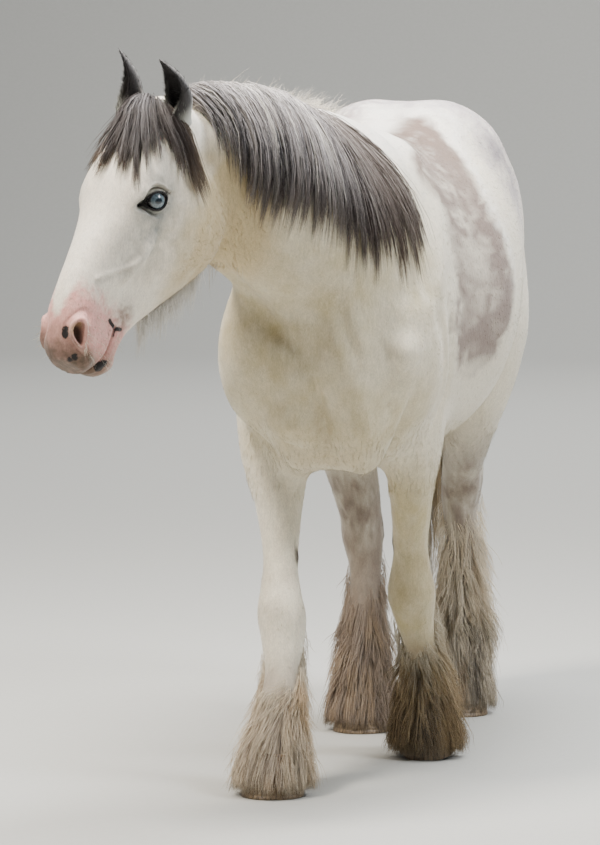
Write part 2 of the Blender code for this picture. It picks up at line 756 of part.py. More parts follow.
def carved_head(mesh):
    """Lids, eye sockets, nostrils and the line of the mouth."""
    for side in (-1, 1):
        mesh = single(mesh, eye_ball(side, EYE_RADIUS + LID_THICKNESS), "UNION")
    for side in (-1, 1):
        mesh = single(mesh, eye_ball(side, EYE_RADIUS + GAP * 1.2), "DIFFERENCE")
        mesh = single(mesh, eye_opening(side), "DIFFERENCE")
        mesh = single(mesh, nostril_hollow(side), "DIFFERENCE")
    mesh = single(mesh, mouth_slit(), "DIFFERENCE")
    return largest_body(mesh)


# Ears: root in the head frame, the way they point as azimuth and rise in degrees, the way they open.
EAR_ROOT = (0.004, 0.068, -0.034)
EAR_LENGTH = 0.150
EAR_POINT = {-1: (182.0, 66.0), 1: (186.0, 54.0)}
EAR_OPEN = {-1: 242.0, 1: 214.0}
EAR_HOOK = {-1: 0.004, 1: 0.014}
EAR_SECTIONS = [
    (-0.10, 0.024, 0.024, 165, 0.0200),
    (0.10, 0.026, 0.026, 160, 0.0150),
    (0.25, 0.029, 0.026, 140, 0.0070),
    (0.42, 0.030, 0.022, 118, 0.0042),
    (0.60, 0.026, 0.017, 104, 0.0034),
    (0.78, 0.018, 0.011, 94, 0.0028),
    (0.92, 0.009, 0.005, 90, 0.0022),
    (1.00, 0.003, 0.002, 88, 0.0012),
]


def compass(azimuth, rise):
    """A direction: azimuth 180 looks along -Y, 90 along +X."""
    az, el = math.radians(azimuth), math.radians(rise)
    return Vector((math.cos(el) * math.sin(az), math.cos(el) * math.cos(az), math.sin(el)))


def ear_mesh(side):
    """A cupped leaf: each section is a crescent that opens to one side."""
    root = side_point(EAR_ROOT, side)
    axis = compass(*EAR_POINT[side])
    opening = compass(EAR_OPEN[side], 10.0)
    opening = (opening - axis * opening.dot(axis)).normalized()
    across = axis.cross(opening).normalized()
    rings = []
    for t, width, depth, span, thick in EAR_SECTIONS:
        bend = opening * (EAR_HOOK[side] * max(t, 0) ** 2 - 0.014 * math.sin(math.pi * min(max(t, 0), 1)))
        centre = root + axis * t * EAR_LENGTH + bend
        outer, inner = [], []
        for k in range(7):
            angle = math.radians(span) * (k / 3 - 1)
            spread = Vector((math.sin(angle), -math.cos(angle)))
            outer.append(centre + across * spread.x * width + opening * spread.y * depth)
            inner.append(centre + across * spread.x * max(width - thick, width * 0.12)
                         + opening * spread.y * max(depth - thick, depth * 0.12))
        rings.append(outer + inner[::-1])
    return loft("ear", rings)


def inflated(mesh, distance):
    """A copy whose surface lies the distance further out."""
    grown = mesh.copy()
    for vert, normal in zip(grown.vertices, [n.vector.copy() for n in mesh.vertex_normals]):
        vert.co = vert.co + normal * distance
    return grown


def place(name, mesh, material, collection):
    mesh.name = name
    mesh.materials.clear()
    mesh.materials.append(material)
    mesh.transform(Matrix.Translation(ORIGIN_SHIFT))
    obj = bpy.data.objects.new(name, mesh)
    collection.objects.link(obj)
    return obj


def coat_material(name, colour, roughness):
    material = bpy.data.materials.new(name)
    material.use_nodes = True
    shader = material.node_tree.nodes["Principled BSDF"]
    shader.inputs["Base Color"].default_value = (*colour, 1.0)
    shader.inputs["Roughness"].default_value = roughness
    shader.inputs["Metallic"].default_value = 0.0
    return material


# Locks: flat tapered strands of three sides, each a few stations long and a tip.
LOCK_SHAPE = ((0.00, 0.50), (0.25, 1.00), (0.50, 0.95), (0.75, 0.70), (0.92, 0.36))
FEATHER_SHAPE = ((0.00, 0.34), (0.25, 0.62), (0.50, 0.92), (0.75, 1.00), (1.00, 0.60))


def lock(points, normals, width, thick, shape=LOCK_SHAPE):
    """A closed strand along the points: its underside flat, its ridge outwards, its tip a point."""
    mesh = bpy.data.meshes.new("lock")
    bm = bmesh.new()
    last = len(points) - 1
    rings = []
    for k in range(last):
        along = (points[k + 1] - points[max(k - 1, 0)]).normalized()
        across = along.cross(normals[k]).normalized()
        out = across.cross(along).normalized()
        share = float(np.interp(k / last, [row[0] for row in shape], [row[1] for row in shape]))
        half, rise = across * width * share / 2, out * thick * share
        sides = (-half - rise * 0.35, half - rise * 0.35, rise * 0.65)
        rings.append([bm.verts.new(points[k] + side) for side in sides])
    for lower, upper in zip(rings, rings[1:]):
        for i in range(3):
            j = (i + 1) % 3
            bm.faces.new((lower[i], lower[j], upper[j], upper[i]))
    tip = bm.verts.new(points[last])
    for i in range(3):
        bm.faces.new((rings[-1][i], rings[-1][(i + 1) % 3], tip))
    bm.faces.new(rings[0])
    bmesh.ops.triangulate(bm, faces=bm.faces)
    bmesh.ops.recalc_face_normals(bm, faces=bm.faces)
    bm.to_mesh(mesh)
    bm.free()
    return mesh


# The mane: where along the crest the hair is rooted, and where its tips lie beside the neck.
MANE_TIPS = [
    (0.00, -0.165, -0.655, 1.215),
    (0.20, -0.091, -0.560, 1.168),
    (0.40, -0.032, -0.510, 1.155),
    (0.55, 0.031, -0.450, 1.140),
    (0.70, 0.090, -0.385, 1.060),
    (0.85, 0.160, -0.285, 1.045),
    (1.00, 0.200, -0.160, 1.085),
]
# Layers of the mane: number of locks, share of the full length, lift off the neck, width.
MANE_LAYERS = ((18, 1.00, 0.012, 0.036), (12, 0.84, 0.030, 0.050))
LOCK_THICKNESS = 0.014
ROOT_DEPTH = 0.018


def crest_point(t):
    """A point on the crest of the neck, from the poll (0) to the withers (1)."""
    rows = smooth_rows([list(row[0:3]) for row in NECK][::-1], 8)
    spot = t * (len(rows) - 1) * 0.86
    low = min(int(spot), len(rows) - 2)
    return Vector(rows[low]).lerp(Vector(rows[low + 1]), spot - low)


def mane_tip(t):
    table = np.array(MANE_TIPS)
    return Vector([float(np.interp(t, table[:, 0], table[:, k])) for k in (1, 2, 3)])


def draped(tree, root, tip, steps, lift, swing, sway=Vector((0, 0, 0))):
    """Points from a root sunk in the flesh to a tip, that lie on the flesh at the given lift."""
    control = (root + tip) / 2 + swing
    points, normals = [], []
    for k in range(steps + 1):
        t = k / steps
        point = root * (1 - t) ** 2 + control * 2 * t * (1 - t) + tip * t * t
        point += sway * math.sin(2 * math.pi * t)
        near, normal, _, _ = tree.find_nearest(point)
        height = -ROOT_DEPTH if k == 0 else lift * min(1.0, 0.45 + 1.4 * t)
        points.append(near + normal * height)
        normals.append(normal.copy())
    return points, normals


def mane_locks(tree, chance):
    locks = []
    for count, length, lift, width in MANE_LAYERS:
        for i in range(count):
            t = (i + 0.5 + chance.uniform(-0.06, 0.06)) / count
            root = crest_point(t)
            tip = root.lerp(mane_tip(t), length * chance.uniform(0.90, 1.03))
            sway = Vector((0.0, 0.014 * math.sin(11 * t + 2 * lift), 0.0))
            points, normals = draped(tree, root, tip, 5, lift, Vector((0.14, 0.0, 0.09)), sway)
            locks.append(lock(points, normals, width * chance.uniform(0.92, 1.06), LOCK_THICKNESS))
    return locks


# The forelock's tips in the head frame, from the right side of the face to the left.
FORELOCK_TIPS = [
    (0.120, -0.062, -0.010), (0.150, -0.040, 0.010), (0.172, -0.012, 0.014), (0.176, 0.016, 0.012),
    (0.150, 0.040, 0.010), (0.160, 0.064, 0.000), (0.152, 0.090, -0.030), (0.122, 0.092, -0.066),
    (0.096, 0.088, -0.118), (0.072, 0.086, -0.160),
]


def forelock_locks(tree, chance):
    locks = []
    count = len(FORELOCK_TIPS)
    for layer, length in ((0, 1.0), (1, 0.65)):
        for i, (a, l, u) in enumerate(FORELOCK_TIPS):
            if layer and i % 2:
                continue
            spread = i / (count - 1) - 0.5
            root = head_point(0.012 + 0.010 * layer, spread * 0.066, 0.0)
            tip = root.lerp(head_point(a, l, u), length * chance.uniform(0.95, 1.03))
            points, normals = draped(tree, root, tip, 5, 0.008 + 0.012 * layer, HEAD_U * 0.05)
            locks.append(lock(points, normals, 0.022 * chance.uniform(0.9, 1.08), 0.009))
    return locks


# The tail: y, z, half width and half depth of the bundle of hair.
TAIL_BUNDLE = [
    (1.190, 1.290, 0.034, 0.030),
    (1.225, 1.230, 0.046, 0.040),
    (1.270, 1.080, 0.068, 0.050),
    (1.290, 0.850, 0.084, 0.060),
    (1.288, 0.550, 0.078, 0.056),
    (1.278, 0.300, 0.058, 0.044),
    (1.270, 0.130, 0.030, 0.026),
]
# Rings of tail locks: number, height of the roots, height of the tips, share of the bundle's radius, width.
TAIL_RINGS = ((9, 1.225, 0.36, 1.00, 0.050), (7, 1.080, 0.135, 0.68, 0.044))


def tail_middle(z):
    table = np.array(TAIL_BUNDLE)[::-1]
    return [float(np.interp(z, table[:, 1], table[:, k])) for k in (0, 2, 3)]


def tail_core():
    """The dock's own thickness of hair, half way out to the tips."""
    rings = []
    for z, share in ((1.24, 0.40), (1.05, 0.40), (0.80, 0.36), (0.62, 0.20), (0.55, 0.06)):
        y, wide, deep = tail_middle(z)
        rings.append(section(Vector((0, y, z)), Vector((1, 0, 0)), Vector((0, 1, 0)), wide * share,
                             deep * share, deep * share, 2.0, 0.0, 8))
    return loft("tail core", rings)


def tail_locks(chance):
    locks = []
    for ring, (count, top, bottom, share, width) in enumerate(TAIL_RINGS):
        for i in range(count):
            angle = 2 * math.pi * (i + 0.5 * ring + chance.uniform(-0.15, 0.15)) / count
            end = bottom * chance.uniform(0.94, 1.12)
            out = Vector((math.cos(angle), math.sin(angle), 0))
            points, normals = [], []
            for k in range(7):
                s = k / 6
                z = top + (end - top) * s
                y, wide, deep = tail_middle(z)
                reach = share * (0.35 + 0.65 * min(1.0, s * 4)) * (1.0 if s < 0.8 else 1.0 - 0.8 * (s - 0.8))
                turn = angle + 0.25 * s
                points.append(Vector((math.cos(turn) * wide * reach, y + math.sin(turn) * deep * reach, z)))
                normals.append(out)
            locks.append(lock(points, normals, width * chance.uniform(0.85, 1.15), LOCK_THICKNESS * 1.3))
    return locks


def leg_centre(leg, z):
    """The middle of the leg at a height, and its radius."""
    rows = np.array(LEGS[leg])[::-1]
    x, y, radius = [float(np.interp(z, rows[:, 2], rows[:, k])) for k in (0, 1, 3)]
    return Vector((x, y, z)), radius


# The feather's bell: height and radius about the foot's own line.
FEATHER_BELL = (
    (0.012, 0.092), (0.060, 0.096), (0.110, 0.086), (0.170, 0.070), (0.230, 0.056), (0.300, 0.050),
)
# Rows of feather locks: number, height of the roots, height of the tips, half the angle round
# from the back, width, share of the bell's radius.
FEATHER_ROWS = (
    (8, 0.140, 0.014, 180, 0.066, 0.88),
    (5, 0.205, 0.055, 145, 0.082, 1.04),
    (3, 0.280, 0.120, 75, 0.066, 1.06),
)
# The feather starts higher at the back of a hind leg: the height of its first row.
FEATHER_TOP = {"foreleg_right": 0.320, "foreleg_left": 0.330, "hindleg_right": 0.400, "hindleg_left": 0.490}
# How much wider the upper part of the feather stands, from 0.2 m up.
FEATHER_FLARE = {"foreleg_right": 1.0, "foreleg_left": 1.1, "hindleg_right": 1.1, "hindleg_left": 1.45}


def bell_point(leg, z, angle, share=1.0):
    """A point on the bell of the feather; angle 0 is the back of the leg."""
    x, y, heading, _ = HOOVES[leg]
    foot = Vector((x, y, 0.0))
    table = np.array(FEATHER_BELL)
    middle, _ = leg_centre(leg, max(z, 0.11))
    middle = middle.lerp(foot, max(0.0, 1 - z / 0.17))
    radius = float(np.interp(z, table[:, 0], table[:, 1])) * share
    radius *= 1 + (FEATHER_FLARE[leg] - 1) * min(1.0, max(0.0, (z - 0.10) / 0.10))
    turn = math.radians(angle + heading)
    return Vector((middle.x - math.sin(turn) * radius, middle.y + math.cos(turn) * radius, z))


def feather_locks(leg, chance):
    rows = list(FEATHER_ROWS)
    top = FEATHER_TOP[leg]
    rows.append((2 if leg.startswith("fore") else 3, top + 0.02, top - 0.20, 70, 0.050, 1.0))
    locks = []
    for count, high, low, around, width, share in rows:
        for i in range(count):
            step = 2 * around / count
            angle = -around + step * (i + 0.5 + chance.uniform(-0.05, 0.05))
            centre, radius = leg_centre(leg, high)
            turn = math.radians(angle)
            out = Vector((-math.sin(turn), math.cos(turn), 0))
            start = centre + out * (radius - ROOT_DEPTH * 0.7)
            end = max(low * chance.uniform(0.9, 1.25), 0.012)
            points, normals = [start], [out]
            for k in range(1, 5):
                s = k / 4
                z = high + (end - high) * s
                target = bell_point(leg, z, angle, share)
                near = centre + out * (radius + 0.010)
                near.z = z
                points.append(near.lerp(target, min(1.0, s * 1.5)))
                normals.append((out + Vector((0, 0, 0.4))).normalized())
            locks.append(lock(points, normals, width * chance.uniform(0.94, 1.04), 0.012, FEATHER_SHAPE))
    return locks


def hoof_room(hoof):
    corners = [vert.co.copy() for vert in hoof.vertices]
    corners += [corner + Vector((0, 0, -0.1)) for corner in corners]
    return hull("hoof room", corners, GAP * 2)


# The beard under the jaw: how far down the face each lock is rooted, and how far to the left.
BEARD = (
    (0.180, 0.020), (0.225, -0.022), (0.262, 0.016), (0.300, -0.014),
    (0.338, 0.012), (0.375, -0.008), (0.412, 0.006),
)


def beard_locks(tree, chance):
    locks = []
    for a, l in BEARD:
        near, normal, _, _ = tree.find_nearest(head_point(a, l, -0.40))
        fall = (Vector((0, 0, -1)) + HEAD_A * 0.5).normalized()
        length = 0.046 * chance.uniform(0.8, 1.2)
        points = [near - normal * 0.010, near + normal * 0.004 + fall * length * 0.3,
                  near + normal * 0.006 + fall * length * 0.65, near + normal * 0.004 + fall * length]
        locks.append(lock(points, [HEAD_A * -1.0] * 4, 0.017, 0.006))
    return locks


def with_locks(mesh, locks, clear=()):
    """The node with its locks fused on, the locks first cut clear of the given neighbours."""
    for other in clear:
        locks = [single(one, other.copy(), "DIFFERENCE", "MANIFOLD") for one in locks]
    return largest_body(combined(mesh, locks, "UNION", "MANIFOLD"))


def main():
    for obj in list(bpy.data.objects):
        bpy.data.objects.remove(obj)
    horse = bpy.data.collections.new("gypsy_vanner_horse")
    bpy.context.scene.collection.children.link(horse)
    coat = coat_material("short coat", (0.72, 0.68, 0.58), 0.7)
    horn = coat_material("hoof horn", (0.10, 0.08, 0.06), 0.45)
    dark = coat_material("ear skin", (0.05, 0.045, 0.04), 0.8)
    wet = coat_material("eye", (0.35, 0.45, 0.50), 0.05)

    flesh = thinned_flesh()
    bm = bmesh.new()
    bm.from_mesh(flesh)
    tree = BVHTree.FromBMesh(bm)
    bm.free()
    for leg in LEGS:
        flesh = single(flesh, hoof_wedge(leg), "DIFFERENCE")
    flesh = largest_body(flesh)
    nodes = {}
    chance = random.Random(11)
    for leg in LEGS:
        whole, flesh = parted(flesh, leg_space(leg))
        lower, nodes[leg + "_upper"] = parted(whole, lower_leg_space(leg))
        nodes["hoof_" + leg] = hoof_mesh(leg)
        room = hoof_room(nodes["hoof_" + leg])
        nodes[leg + "_lower"] = with_locks(lower, feather_locks(leg, chance), [room])
    dock, flesh = parted(flesh, tail_space())
    torso_clear = inflated(flesh, GAP * 2)
    nodes["tail"] = with_locks(dock, [tail_core()] + tail_locks(chance), [torso_clear])
    head, flesh = parted(flesh, head_space())
    neck, nodes["torso"] = parted(flesh, neck_space())
    clear = [inflated(nodes["torso"], GAP * 2), inflated(head, GAP * 2)]
    nodes["neck"] = with_locks(neck, mane_locks(tree, chance), clear)
    ears = {side: ear_mesh(side) for side in (-1, 1)}
    clear = [inflated(ears[side], GAP * 2) for side in (-1, 1)] + [inflated(nodes["neck"], GAP * 2)]
    haired = with_locks(head, forelock_locks(tree, chance) + beard_locks(tree, chance), clear)
    nodes["head"] = carved_head(haired)
    for side, word in ((-1, "right"), (1, "left")):
        ear = single(ears[side], inflated(nodes["head"], GAP * 2), "DIFFERENCE")
        nodes["ear_" + word] = largest_body(ear, (0.0,))
        nodes["eye_" + word] = eye_ball(side, EYE_RADIUS)
    finish = {"hoof": horn, "ear": dark, "eye": wet}
    for name, mesh in nodes.items():
        place(name, mesh, finish.get(name.split("_")[0], coat), horse)


if __name__ == "__main__":
    main()
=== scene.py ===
"""A gypsy vanner horse at life size, walking with its head turned: skin, eyes, ears, hooves,
mane, forelock, tail, leg feather, beard and short coat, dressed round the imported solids."""

import math

import bmesh
import bpy
import numpy as np
from mathutils import Matrix, Vector
from mathutils.bvhtree import BVHTree


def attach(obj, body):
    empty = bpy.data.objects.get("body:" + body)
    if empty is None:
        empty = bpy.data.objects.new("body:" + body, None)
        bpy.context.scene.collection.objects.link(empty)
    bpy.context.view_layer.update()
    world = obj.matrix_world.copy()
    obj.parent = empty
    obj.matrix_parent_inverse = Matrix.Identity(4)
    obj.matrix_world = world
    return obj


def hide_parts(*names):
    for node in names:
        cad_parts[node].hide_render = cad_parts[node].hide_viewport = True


bl_info = {
    "name": "Gypsy Vanner Horse",
    "version": (1, 0, 0),
    "blender": (4, 5, 0),
    "location": "3D Viewport > Sidebar > Horse",
    "description": "Dresses the packed horse with skin, hair, eyes, ears and hooves",
    "category": "Object",
}

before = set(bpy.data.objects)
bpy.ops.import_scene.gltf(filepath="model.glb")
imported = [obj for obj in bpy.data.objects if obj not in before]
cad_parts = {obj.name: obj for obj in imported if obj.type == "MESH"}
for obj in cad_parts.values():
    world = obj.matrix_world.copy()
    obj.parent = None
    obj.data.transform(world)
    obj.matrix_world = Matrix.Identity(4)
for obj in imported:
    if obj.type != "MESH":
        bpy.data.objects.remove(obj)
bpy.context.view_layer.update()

# The horse's own sizes, in metres, as in its solids.
WITHERS_HEIGHT = 1.375
CHEST_FLOOR = 0.655
HEAD_YAW = 30.0
HEAD_PITCH = 54.0
POLL = Vector((-0.287, -0.72, 1.43))
EYE_RADIUS = 0.0235
HOOF_HEIGHT = 0.078
HOOF_RADIUS = 0.066
TRUNK_VOXEL = 0.012
VOXEL = 0.0055
TRUNK_TRIANGLES = 39000
FEET_TRIANGLES = 7000
ORIGIN_SHIFT = Vector((0.079, -0.1972, 0.0))

# Head frame: a runs down the face, l to the horse's left, u out of the forehead.
TURN, DROP = math.radians(HEAD_YAW), math.radians(HEAD_PITCH)
HEAD_A = Vector((-math.sin(TURN) * math.cos(DROP), -math.cos(TURN) * math.cos(DROP), -math.sin(DROP)))
HEAD_L = Vector((math.cos(TURN), -math.sin(TURN), 0.0))
HEAD_U = HEAD_A.cross(HEAD_L)

# Torso: y, half width, top, bottom, squareness, pear (wider below when positive).
TORSO = [
    (-0.35, 0.04, 0.985, 0.89, 2.0, 0.0),
    (-0.335, 0.11, 1.06, 0.79, 2.0, 0.0),
    (-0.29, 0.172, 1.14, 0.708, 2.1, 0.0),
    (-0.22, 0.205, 1.21, 0.67, 2.2, 0.02),
    (-0.1, 0.226, 1.3, 0.655, 2.3, 0.05),
    (0.05, 0.24, WITHERS_HEIGHT, CHEST_FLOOR, 2.2, 0.12),
    (0.23, 0.268, 1.364, 0.65, 2.1, 0.13),
    (0.42, 0.296, 1.356, 0.65, 2.1, 0.1),
    (0.57, 0.3, 1.376, 0.68, 2.1, 0.05),
    (0.7, 0.285, 1.394, 0.745, 2.2, 0.0),
    (0.82, 0.27, 1.414, 0.8, 2.2, 0.0),
    (0.95, 0.255, 1.406, 0.85, 2.2, 0.02),
    (1.06, 0.222, 1.354, 0.89, 2.1, 0.05),
    (1.13, 0.165, 1.27, 0.94, 2.0, 0.05),
    (1.168, 0.08, 1.19, 1.0, 2.0, 0.0),
]
# Neck: crest point, throat point, half width, pear.
NECK = [
    (0.0, 0.11, 1.33, 0.0, -0.22, 0.8, 0.2, 0.1),
    (-0.004, -0.01, 1.378, -0.006, -0.318, 0.925, 0.188, 0.14),
    (-0.045, -0.16, 1.415, -0.04, -0.385, 1.0, 0.16, 0.2),
    (-0.105, -0.33, 1.437, -0.092, -0.445, 1.045, 0.135, 0.22),
    (-0.172, -0.495, 1.446, -0.142, -0.492, 1.085, 0.117, 0.2),
    (-0.232, -0.61, 1.436, -0.18, -0.525, 1.12, 0.106, 0.12),
    (-0.275, -0.68, 1.403, -0.215, -0.56, 1.16, 0.092, 0.05),
]
# The dock of the tail: y, z, radius.
TAIL_DOCK = [
    (1.08, 1.31, 0.03),
    (1.15, 1.298, 0.035),
    (1.205, 1.262, 0.033),
    (1.24, 1.18, 0.029),
    (1.252, 1.08, 0.024),
    (1.256, 0.98, 0.016),
]
# Face and skull in the head frame: a, half width, top u, bottom u, squareness, pear.
SKULL = [
    (-0.05, 0.045, -0.035, -0.12, 2.0, 0.0),
    (-0.02, 0.07, -0.006, -0.15, 2.0, 0.0),
    (0.04, 0.084, 0.008, -0.165, 2.2, -0.05),
    (0.11, 0.091, 0.014, -0.15, 2.4, -0.1),
    (0.18, 0.092, 0.01, -0.14, 2.5, -0.12),
    (0.245, 0.078, 0.0, -0.14, 2.4, 0.0),
    (0.32, 0.061, -0.001, -0.14, 2.3, 0.08),
    (0.4, 0.052, -0.004, -0.135, 2.2, 0.1),
    (0.46, 0.054, -0.016, -0.132, 2.2, 0.08),
    (0.505, 0.057, -0.037, -0.14, 2.3, 0.0),
    (0.532, 0.05, -0.058, -0.146, 2.3, 0.0),
    (0.549, 0.034, -0.082, -0.138, 2.1, 0.0),
]
# Lower jaw and cheeks: the same columns.
JAW = [
    (0.0, 0.03, -0.1, -0.198, 2.0, 0.0),
    (0.04, 0.066, -0.07, -0.27, 2.2, 0.0),
    (0.095, 0.084, -0.05, -0.314, 2.3, 0.02),
    (0.16, 0.086, -0.05, -0.322, 2.3, 0.0),
    (0.235, 0.074, -0.055, -0.296, 2.2, -0.08),
    (0.32, 0.054, -0.07, -0.252, 2.1, -0.12),
    (0.4, 0.044, -0.09, -0.212, 2.1, -0.1),
    (0.45, 0.042, -0.11, -0.2, 2.1, 0.0),
    (0.495, 0.041, -0.12, -0.202, 2.1, 0.05),
    (0.518, 0.031, -0.13, -0.194, 2.0, 0.0),
    (0.53, 0.018, -0.14, -0.176, 2.0, 0.0),
]
# Legs run down their joints: x, y, z, half width, depth ahead, depth behind.
FORE_LEG_RIGHT = [
    (-0.148, 0.01, 0.96, 0.03, 0.06, 0.06),
    (-0.158, -0.01, 0.88, 0.062, 0.105, 0.12),
    (-0.156, -0.035, 0.77, 0.074, 0.108, 0.118),
    (-0.143, -0.072, 0.66, 0.07, 0.086, 0.092),
    (-0.127, -0.112, 0.56, 0.049, 0.062, 0.068),
    (-0.116, -0.152, 0.46, 0.038, 0.046, 0.048),
    (-0.11, -0.178, 0.405, 0.044, 0.048, 0.048),
    (-0.104, -0.2, 0.352, 0.053, 0.054, 0.052),
    (-0.098, -0.222, 0.298, 0.046, 0.042, 0.048),
    (-0.096, -0.25, 0.235, 0.036, 0.034, 0.042),
    (-0.097, -0.275, 0.158, 0.046, 0.042, 0.052),
    (-0.096, -0.302, 0.112, 0.043, 0.041, 0.043),
    (-0.094, -0.332, 0.072, 0.05, 0.048, 0.048),
    (-0.093, -0.35, 0.035, 0.05, 0.048, 0.048),
]
FORE_LEG_LEFT = [
    (0.146, 0.05, 0.96, 0.03, 0.06, 0.06),
    (0.155, 0.035, 0.88, 0.06, 0.105, 0.12),
    (0.147, 0.04, 0.77, 0.064, 0.106, 0.116),
    (0.133, 0.07, 0.66, 0.058, 0.086, 0.092),
    (0.124, 0.105, 0.56, 0.045, 0.062, 0.068),
    (0.118, 0.136, 0.47, 0.038, 0.046, 0.048),
    (0.115, 0.15, 0.42, 0.044, 0.05, 0.048),
    (0.115, 0.163, 0.368, 0.053, 0.058, 0.05),
    (0.118, 0.184, 0.312, 0.044, 0.042, 0.046),
    (0.126, 0.216, 0.248, 0.036, 0.034, 0.042),
    (0.132, 0.248, 0.186, 0.046, 0.044, 0.05),
    (0.135, 0.248, 0.14, 0.043, 0.041, 0.043),
    (0.137, 0.237, 0.104, 0.05, 0.048, 0.048),
    (0.138, 0.222, 0.07, 0.05, 0.048, 0.048),
]
HIND_LEG_RIGHT = [
    (-0.12, 0.85, 1.22, 0.04, 0.08, 0.08),
    (-0.15, 0.845, 1.12, 0.095, 0.19, 0.17),
    (-0.165, 0.8, 0.98, 0.104, 0.185, 0.215),
    (-0.165, 0.75, 0.86, 0.098, 0.155, 0.19),
    (-0.15, 0.738, 0.75, 0.084, 0.118, 0.132),
    (-0.13, 0.755, 0.64, 0.066, 0.08, 0.086),
    (-0.113, 0.79, 0.54, 0.056, 0.062, 0.066),
    (-0.104, 0.815, 0.47, 0.049, 0.056, 0.07),
    (-0.099, 0.82, 0.41, 0.048, 0.054, 0.062),
    (-0.089, 0.795, 0.34, 0.037, 0.041, 0.046),
    (-0.086, 0.757, 0.25, 0.037, 0.038, 0.042),
    (-0.08, 0.717, 0.165, 0.046, 0.043, 0.052),
    (-0.076, 0.687, 0.115, 0.043, 0.041, 0.043),
    (-0.073, 0.662, 0.072, 0.049, 0.048, 0.047),
    (-0.071, 0.645, 0.035, 0.049, 0.048, 0.047),
]
HIND_LEG_LEFT = [
    (0.12, 0.89, 1.22, 0.04, 0.08, 0.08),
    (0.15, 0.895, 1.12, 0.095, 0.19, 0.17),
    (0.165, 0.89, 0.98, 0.104, 0.19, 0.215),
    (0.168, 0.878, 0.86, 0.098, 0.18, 0.2),
    (0.155, 0.905, 0.77, 0.085, 0.15, 0.14),
    (0.126, 0.975, 0.67, 0.064, 0.092, 0.088),
    (0.101, 1.052, 0.58, 0.051, 0.062, 0.062),
    (0.091, 1.092, 0.515, 0.05, 0.056, 0.07),
    (0.086, 1.098, 0.455, 0.041, 0.052, 0.06),
    (0.092, 1.08, 0.37, 0.035, 0.041, 0.046),
    (0.1, 1.053, 0.26, 0.036, 0.037, 0.042),
    (0.106, 1.028, 0.17, 0.046, 0.043, 0.052),
    (0.107, 1.0, 0.118, 0.043, 0.041, 0.043),
    (0.108, 0.975, 0.074, 0.049, 0.048, 0.047),
    (0.109, 0.958, 0.036, 0.049, 0.048, 0.047),
]


def head_point(a, l, u):
    """A point given down the face, to the left and out of the forehead."""
    return POLL + HEAD_A * a + HEAD_L * l + HEAD_U * u


def smooth_rows(rows, steps):
    """Catmull-Rom rows between the given ones."""
    table = np.array(rows, float)
    padded = np.vstack([2 * table[0] - table[1], table, 2 * table[-1] - table[-2]])
    found = []
    for i in range(len(table) - 1):
        p0, p1, p2, p3 = padded[i : i + 4]
        for k in range(steps):
            t = k / steps
            found.append(
                0.5 * (2 * p1 + (p2 - p0) * t + (2 * p0 - 5 * p1 + 4 * p2 - p3) * t * t
                       + (3 * p1 - p0 - 3 * p2 + p3) * t ** 3)
            )
    found.append(table[-1])
    return found


def section(centre, side, up, width, above, below, power=2.0, pear=0.0, sides=40):
    """One closed outline: an ellipse made squarer by power, and wider below by pear."""
    points = []
    for i in range(sides):
        angle = 2 * math.pi * i / sides
        c, s = math.cos(angle), math.sin(angle)
        x = math.copysign(abs(c) ** (2 / power), c) * width * (1 - pear * s)
        y = math.copysign(abs(s) ** (2 / power), s) * (above if s > 0 else below)
        points.append(centre + side * x + up * y)
    return points


def loft(name, sections):
    """A closed skin over a row of outlines with the same number of points."""
    mesh = bpy.data.meshes.new(name)
    bm = bmesh.new()
    rings = [[bm.verts.new(p) for p in ring] for ring in sections]
    for lower, upper in zip(rings, rings[1:]):
        for i in range(len(lower)):
            j = (i + 1) % len(lower)
            bm.faces.new((lower[i], lower[j], upper[j], upper[i]))
    bm.faces.new(rings[0][::-1])
    bm.faces.new(rings[-1])
    bmesh.ops.recalc_face_normals(bm, faces=bm.faces)
    bm.to_mesh(mesh)
    bm.free()
    return mesh


def torso_form():
    rings = []
    for y, width, top, bottom, power, pear in smooth_rows(TORSO, 5):
        middle = (top + bottom) / 2
        rings.append(section(Vector((0, y, middle)), Vector((1, 0, 0)), Vector((0, 0, 1)),
                             width, top - middle, middle - bottom, power, pear))
    return loft("torso form", rings)


def neck_form():
    rings = []
    for row in smooth_rows(NECK, 5):
        crest, throat = Vector(row[0:3]), Vector(row[3:6])
        up = (crest - throat).normalized()
        forward = Vector((math.sin(-TURN * 0.6), -1, 0)).normalized()
        side = up.cross(forward).normalized()
        half = (crest - throat).length / 2
        rings.append(section((crest + throat) / 2, side, up, row[6], half, half, 2.1, row[7]))
    return loft("neck form", rings)


def head_form(name, rows):
    rings = []
    for a, width, top, bottom, power, pear in smooth_rows(rows, 5):
        middle = (top + bottom) / 2
        rings.append(section(head_point(a, 0, middle), HEAD_L, HEAD_U,
                             width, top - middle, middle - bottom, power, pear))
    return loft(name, rings)


def leg_form(name, rows):
    rings = []
    table = smooth_rows(rows, 5)
    for i, row in enumerate(table):
        before, after = table[max(i - 1, 0)], table[min(i + 1, len(table) - 1)]
        run = Vector(after[:3]) - Vector(before[:3])
        side = Vector((1, 0, 0))
        ahead = run.cross(side).normalized()
        if ahead.y > 0:
            ahead.negate()
        rings.append(section(Vector(row[:3]), side, ahead, row[3], row[4], row[5], 2.15, 0.0, 20))
    return loft(name, rings)


